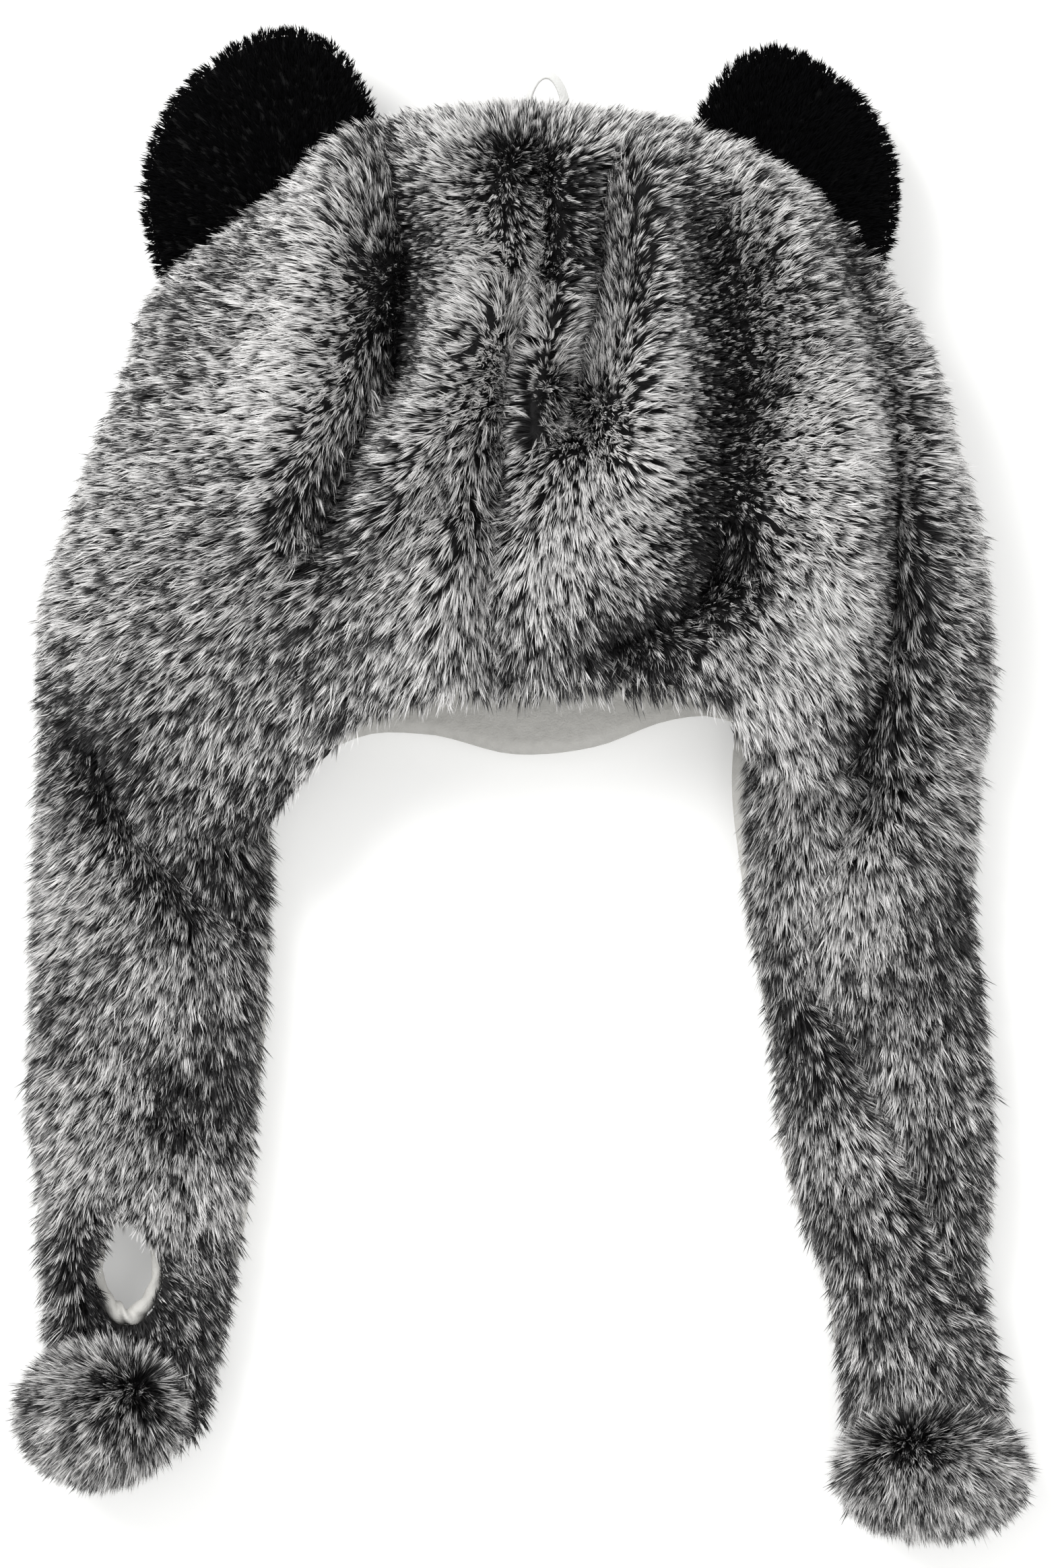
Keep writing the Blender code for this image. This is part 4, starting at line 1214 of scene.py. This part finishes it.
def make_pompom(label, sizes, colours):
    """A ball of cloth, and strands that part at its whorl and point away from it.

    Its tone is a product of sines, of the turn round the whorl and of the place, and it has painted shade
    at the whorl, where the strands part.
    """
    side, sections, _ = FLAPS[label]
    outwards, up, width, length = POMPOMS[label]
    x = float(flap_middle(side, sections, 1.0)) + side * outwards * width
    z = POMPOM_THICKNESS / 2 + (LEFT_POMPOM_SEAT if label == "left" else 0.0)
    middle = np.array([x, RIM_Y - FLAP_LENGTH + up * length, z])
    radii = np.array([width / 2, length / 2, POMPOM_THICKNESS / 2]) - POMPOM_PILE_DEPTH
    turn = np.linspace(0, 2 * math.pi, 49)
    fall = np.linspace(0.03, math.pi - 0.03, 33)[:, None]
    ball = [np.sin(fall) * np.cos(turn), np.sin(fall) * np.sin(turn), np.cos(fall) + 0 * turn]
    ball = np.stack(ball, axis=-1)
    grid = middle + ball * radii
    ends = [middle + (0, 0, radii[2]), middle - (0, 0, radii[2])]
    knit = backing_finish("fur_backing", colours.root)
    core = lofted(f"pompom_{label}_core", grid[:, :-1], ends, knit)
    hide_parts(f"pompom_{label}")

    comb = ball - (*WHORLS[label], 0.4)
    right, above = comb[..., 0], comb[..., 1]
    parted = np.exp(-((np.hypot(right, above) / 0.45) ** 2)) * (ball[..., 2] > 0)
    streaks = np.sin(7 * np.arctan2(above, right) + 3 * ball[..., 0])
    # painted shade: darker where the strands part at the whorl
    tone = 0.40 - 0.11 * parted + 0.24 * streaks * np.sin(5 * ball[..., 1] + 4 * ball[..., 0])
    lift = 0.62 + 0.38 * (1 - np.clip(ball[..., 2], 0, 1)) + 0.40 * parted
    fields = np.stack([lift, 0 * lift + 1, tone], axis=-1)
    weight = 1.15 + ball[..., 2] * 0.35
    name, length, fur = f"pompom_{label}_pile", sizes.pompom_pile, fur_finish(colours)
    part = pile(name, grid, ball, comb, fields, weight, length, sizes, fur, gather=0.70, spread=1.2)


def ear_turning(label):
    """The matrix that turns an ear's own right and up into the hat's."""
    spin = np.radians(EARS[label][2])
    return np.array([[math.cos(spin), math.sin(spin)], [-math.sin(spin), math.cos(spin)]])


def ear_grid(label, across, over, rise):
    """An ear's skin, drawn in for its pile.

    Its half width falls to the tip along a superellipse. Its thickness is a superellipse across it, times a
    root that closes it at the tip. It leans to one side as it rises, and its middle sinks towards the tip.
    """
    across_at, up_at, _, size, lean = EARS[label]
    height, half_width = size * EAR_HEIGHT - EAR_PILE_DEPTH, size * EAR_WIDTH / 2 - EAR_PILE_DEPTH
    risen = np.maximum(rise, 0)
    taper = np.maximum(1 - risen**2.6, 0) ** (1 / 2.2)
    x = size * EAR_LEAN * lean * EAR_HEIGHT * risen + across * taper * half_width
    y = height * rise + 0 * x
    half = (EAR_THICKNESS / 2 - EAR_PILE_DEPTH) * rounded(across, 2.2) * np.maximum(1 - risen**3, 0) ** 0.5
    middle = EAR_ROOT_HEIGHT + (EAR_TIP_HEIGHT - EAR_ROOT_HEIGHT) * risen
    flat = np.stack([x, y], axis=-1) @ ear_turning(label)
    z = middle + np.where(over, half, -half)
    place = np.array([across_at * HALF_WIDTH, up_at * CROWN_HEIGHT])
    return np.concatenate([flat + place, z[..., None]], axis=-1)


def make_ear(label, sizes, colours):
    """An ear's pad, rings of its skin from below its root to its tip, and the plush above and underneath."""
    knit, fur = backing_finish("plush_backing", colours.ears), plush_finish(colours)
    across, over = around(64)
    rise = np.concatenate([[-0.10], eased(np.linspace(0, 0.995, 40), 3)])[:, None]
    rings = ear_grid(label, across, over, rise)
    backing = lofted(f"ear_{label}_backing", rings, middle_ends(rings), knit)
    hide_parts(f"ear_{label}")

    columns = eased(np.linspace(-1, 1, 61), 6)
    rows = np.linspace(-0.05, 0.99, 61)[:, None]
    for layer, top in (("over", True), ("under", False)):
        grid = ear_grid(label, columns, top, rows)
        away = np.stack([np.broadcast_to(columns, grid.shape[:2]) * 0.9, 0.35 + rows + 0 * columns], axis=-1)
        sink = np.full((*grid.shape[:2], 1), -0.3 if top else 0.3)
        comb = np.concatenate([away @ ear_turning(label), sink], axis=-1)
        fields = even_fields(grid, lift=0.60, share=1.0, tone=0.5)
        weight = np.ones(grid.shape[:2])
        name, length, outward = f"ear_{label}_pile_{layer}", sizes.plush, UP if top else -UP
        part = pile(name, grid, outward, comb, fields, weight, length, sizes, fur, gather=0.6, spread=1.2)


def make_hang_tape(colours):
    """A flat band carried along half an ellipse, turned about the path as it comes round."""
    share = np.linspace(0, 1, 70)[:, None]
    angle = math.pi * (1 - share)
    reach = LOOP_REACH + LOOP_ROOT - TAPE_THICKNESS / 2
    x, y = LOOP_ACROSS + LOOP_WIDTH / 2 * np.cos(angle), TOP_Y - LOOP_ROOT + reach * np.sin(angle)
    path = np.hstack([x, y, np.full(share.shape, SIDE_FOLD_HEIGHT)])
    along = unit(np.gradient(path, axis=0))
    out = np.cross(along, UP)
    turned = np.radians(20 + 60 * share)
    wide = np.cos(turned) * UP + np.sin(turned) * out
    thick = np.cross(along, wide)
    corner = np.linspace(0, 2 * math.pi, 16, endpoint=False)
    across = signed_power(np.cos(corner), 0.5) * TAPE_WIDTH / 2
    through_it = signed_power(np.sin(corner), 0.5) * TAPE_THICKNESS / 2
    rings = path[:, None] + across[:, None] * wide[:, None] + through_it[:, None] * thick[:, None]
    tape = lofted("hang_tape", rings, middle_ends(rings), tape_finish(colours))
    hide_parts("hang_loop")


class HAT_OT_crown(bpy.types.Operator):
    """Make the crown's backing and its pile"""

    bl_idname = "hat.crown"
    bl_label = "Crown"
    bl_options = {"REGISTER", "UNDO"}

    def execute(self, context):
        make_crown(context.scene.hat_sizes, context.scene.hat_colours)
        return {"FINISHED"}


class HAT_OT_lining(bpy.types.Operator):
    """Make the fleece of the crown and of the flaps"""

    bl_idname = "hat.lining"
    bl_label = "Fleece lining"
    bl_options = {"REGISTER", "UNDO"}

    def execute(self, context):
        make_crown_lining(context.scene.hat_colours)
        for label in FLAPS:
            make_flap_fleece(label, context.scene.hat_colours)
        return {"FINISHED"}


class HAT_OT_flaps(bpy.types.Operator):
    """Make the two long flaps"""

    bl_idname = "hat.flaps"
    bl_label = "Flaps"
    bl_options = {"REGISTER", "UNDO"}

    def execute(self, context):
        for label in FLAPS:
            make_flap(label, context.scene.hat_sizes, context.scene.hat_colours)
        return {"FINISHED"}


class HAT_OT_slot(bpy.types.Operator):
    """Make the rolled hem of the slot in the left flap"""

    bl_idname = "hat.slot"
    bl_label = "Slot hem"
    bl_options = {"REGISTER", "UNDO"}

    def execute(self, context):
        make_slot_hem(context.scene.hat_colours)
        return {"FINISHED"}


class HAT_OT_pompoms(bpy.types.Operator):
    """Make the pompoms at the ends of the flaps"""

    bl_idname = "hat.pompoms"
    bl_label = "Pompoms"
    bl_options = {"REGISTER", "UNDO"}

    def execute(self, context):
        for label in POMPOMS:
            make_pompom(label, context.scene.hat_sizes, context.scene.hat_colours)
        return {"FINISHED"}


class HAT_OT_ears(bpy.types.Operator):
    """Make the black plush ears"""

    bl_idname = "hat.ears"
    bl_label = "Ears"
    bl_options = {"REGISTER", "UNDO"}

    def execute(self, context):
        for label in EARS:
            make_ear(label, context.scene.hat_sizes, context.scene.hat_colours)
        return {"FINISHED"}


class HAT_OT_tape(bpy.types.Operator):
    """Make the tape loop at the top of the crown"""

    bl_idname = "hat.tape"
    bl_label = "Hang loop"
    bl_options = {"REGISTER", "UNDO"}

    def execute(self, context):
        make_hang_tape(context.scene.hat_colours)
        return {"FINISHED"}


class HAT_OT_stage(bpy.types.Operator):
    """Make the floor, the lights and the camera"""

    bl_idname = "hat.stage"
    bl_label = "Stage"
    bl_options = {"REGISTER", "UNDO"}

    def execute(self, context):
        make_stage(context.scene)
        return {"FINISHED"}


def make_stage(scene):
    """A white floor, an even white sky, two square lights that face the hat, and a camera straight above."""
    mesh = bpy.data.meshes.new("floor")
    mesh.from_pydata([(-4, -4, 0), (4, -4, 0), (4, 4, 0), (-4, 4, 0)], [], [(0, 1, 2, 3)])
    floor = bpy.data.objects.new("floor", mesh)
    scene.collection.objects.link(floor)
    white = (0.88, 0.88, 0.87, 1.0)
    paint = Finish("floor_paint")
    paint.set(Base_Color=white, Roughness=0.9, Emission_Color=white, Emission_Strength=0.30)
    mesh.materials.append(paint.material)

    world = bpy.data.worlds.new("studio")
    scene.world = world
    world.use_nodes = True
    sky = world.node_tree.nodes["Background"]
    sky.inputs["Color"].default_value = (1.0, 1.0, 1.0, 1.0)
    sky.inputs["Strength"].default_value = 0.84
    for name, (place, size, power) in LIGHTS.items():
        data = bpy.data.lights.new(name, "AREA")
        data.size = size
        data.energy = power
        light = bpy.data.objects.new(name, data)
        light.location = place
        x, y, z = np.array(place) - LIT_POINT
        light.rotation_euler = (math.atan2(math.hypot(x, y), z), 0, math.atan2(x, -y))
        scene.collection.objects.link(light)

    data = bpy.data.cameras.new("camera")
    data.sensor_fit = "VERTICAL"
    data.sensor_height = 24.0
    data.lens = data.sensor_height * CAMERA_REACH / SEEN_HEIGHT
    camera = bpy.data.objects.new("camera", data)
    camera.location = (*CAMERA_PLACE, CAMERA_REACH + MIDDLE_HEIGHT)
    scene.collection.objects.link(camera)
    scene.camera = camera
    scene.view_settings.view_transform = "Standard"


OPERATORS = (
    HAT_OT_crown,
    HAT_OT_lining,
    HAT_OT_flaps,
    HAT_OT_slot,
    HAT_OT_pompoms,
    HAT_OT_ears,
    HAT_OT_tape,
    HAT_OT_stage,
)


class HAT_PT_panel(bpy.types.Panel):
    """The hat's sizes, colours and pieces."""

    bl_idname = "HAT_PT_panel"
    bl_label = "Plush animal hat"
    bl_space_type = "VIEW_3D"
    bl_region_type = "UI"
    bl_category = "Hat"

    def draw(self, context):
        for group in (context.scene.hat_sizes, context.scene.hat_colours):
            for name in group.__annotations__:
                self.layout.prop(group, name)
        for operator in OPERATORS:
            self.layout.operator(operator.bl_idname)


CLASSES = (HatSizes, HatColours, *OPERATORS, HAT_PT_panel)


def register():
    """Registers the classes and puts the sizes and colours on the scene."""
    for made in CLASSES:
        bpy.utils.register_class(made)
    bpy.types.Scene.hat_sizes = PointerProperty(type=HatSizes)
    bpy.types.Scene.hat_colours = PointerProperty(type=HatColours)


def unregister():
    """Takes back what register did."""
    del bpy.types.Scene.hat_colours
    del bpy.types.Scene.hat_sizes
    for made in reversed(CLASSES):
        bpy.utils.unregister_class(made)


def main():
    """Makes the hat and its stage."""
    register()
    bpy.ops.hat.crown()
    bpy.ops.hat.lining()
    bpy.ops.hat.flaps()
    bpy.ops.hat.slot()
    bpy.ops.hat.pompoms()
    bpy.ops.hat.ears()
    bpy.ops.hat.tape()
    bpy.ops.hat.stage()


if __name__ == "__main__":
    main()
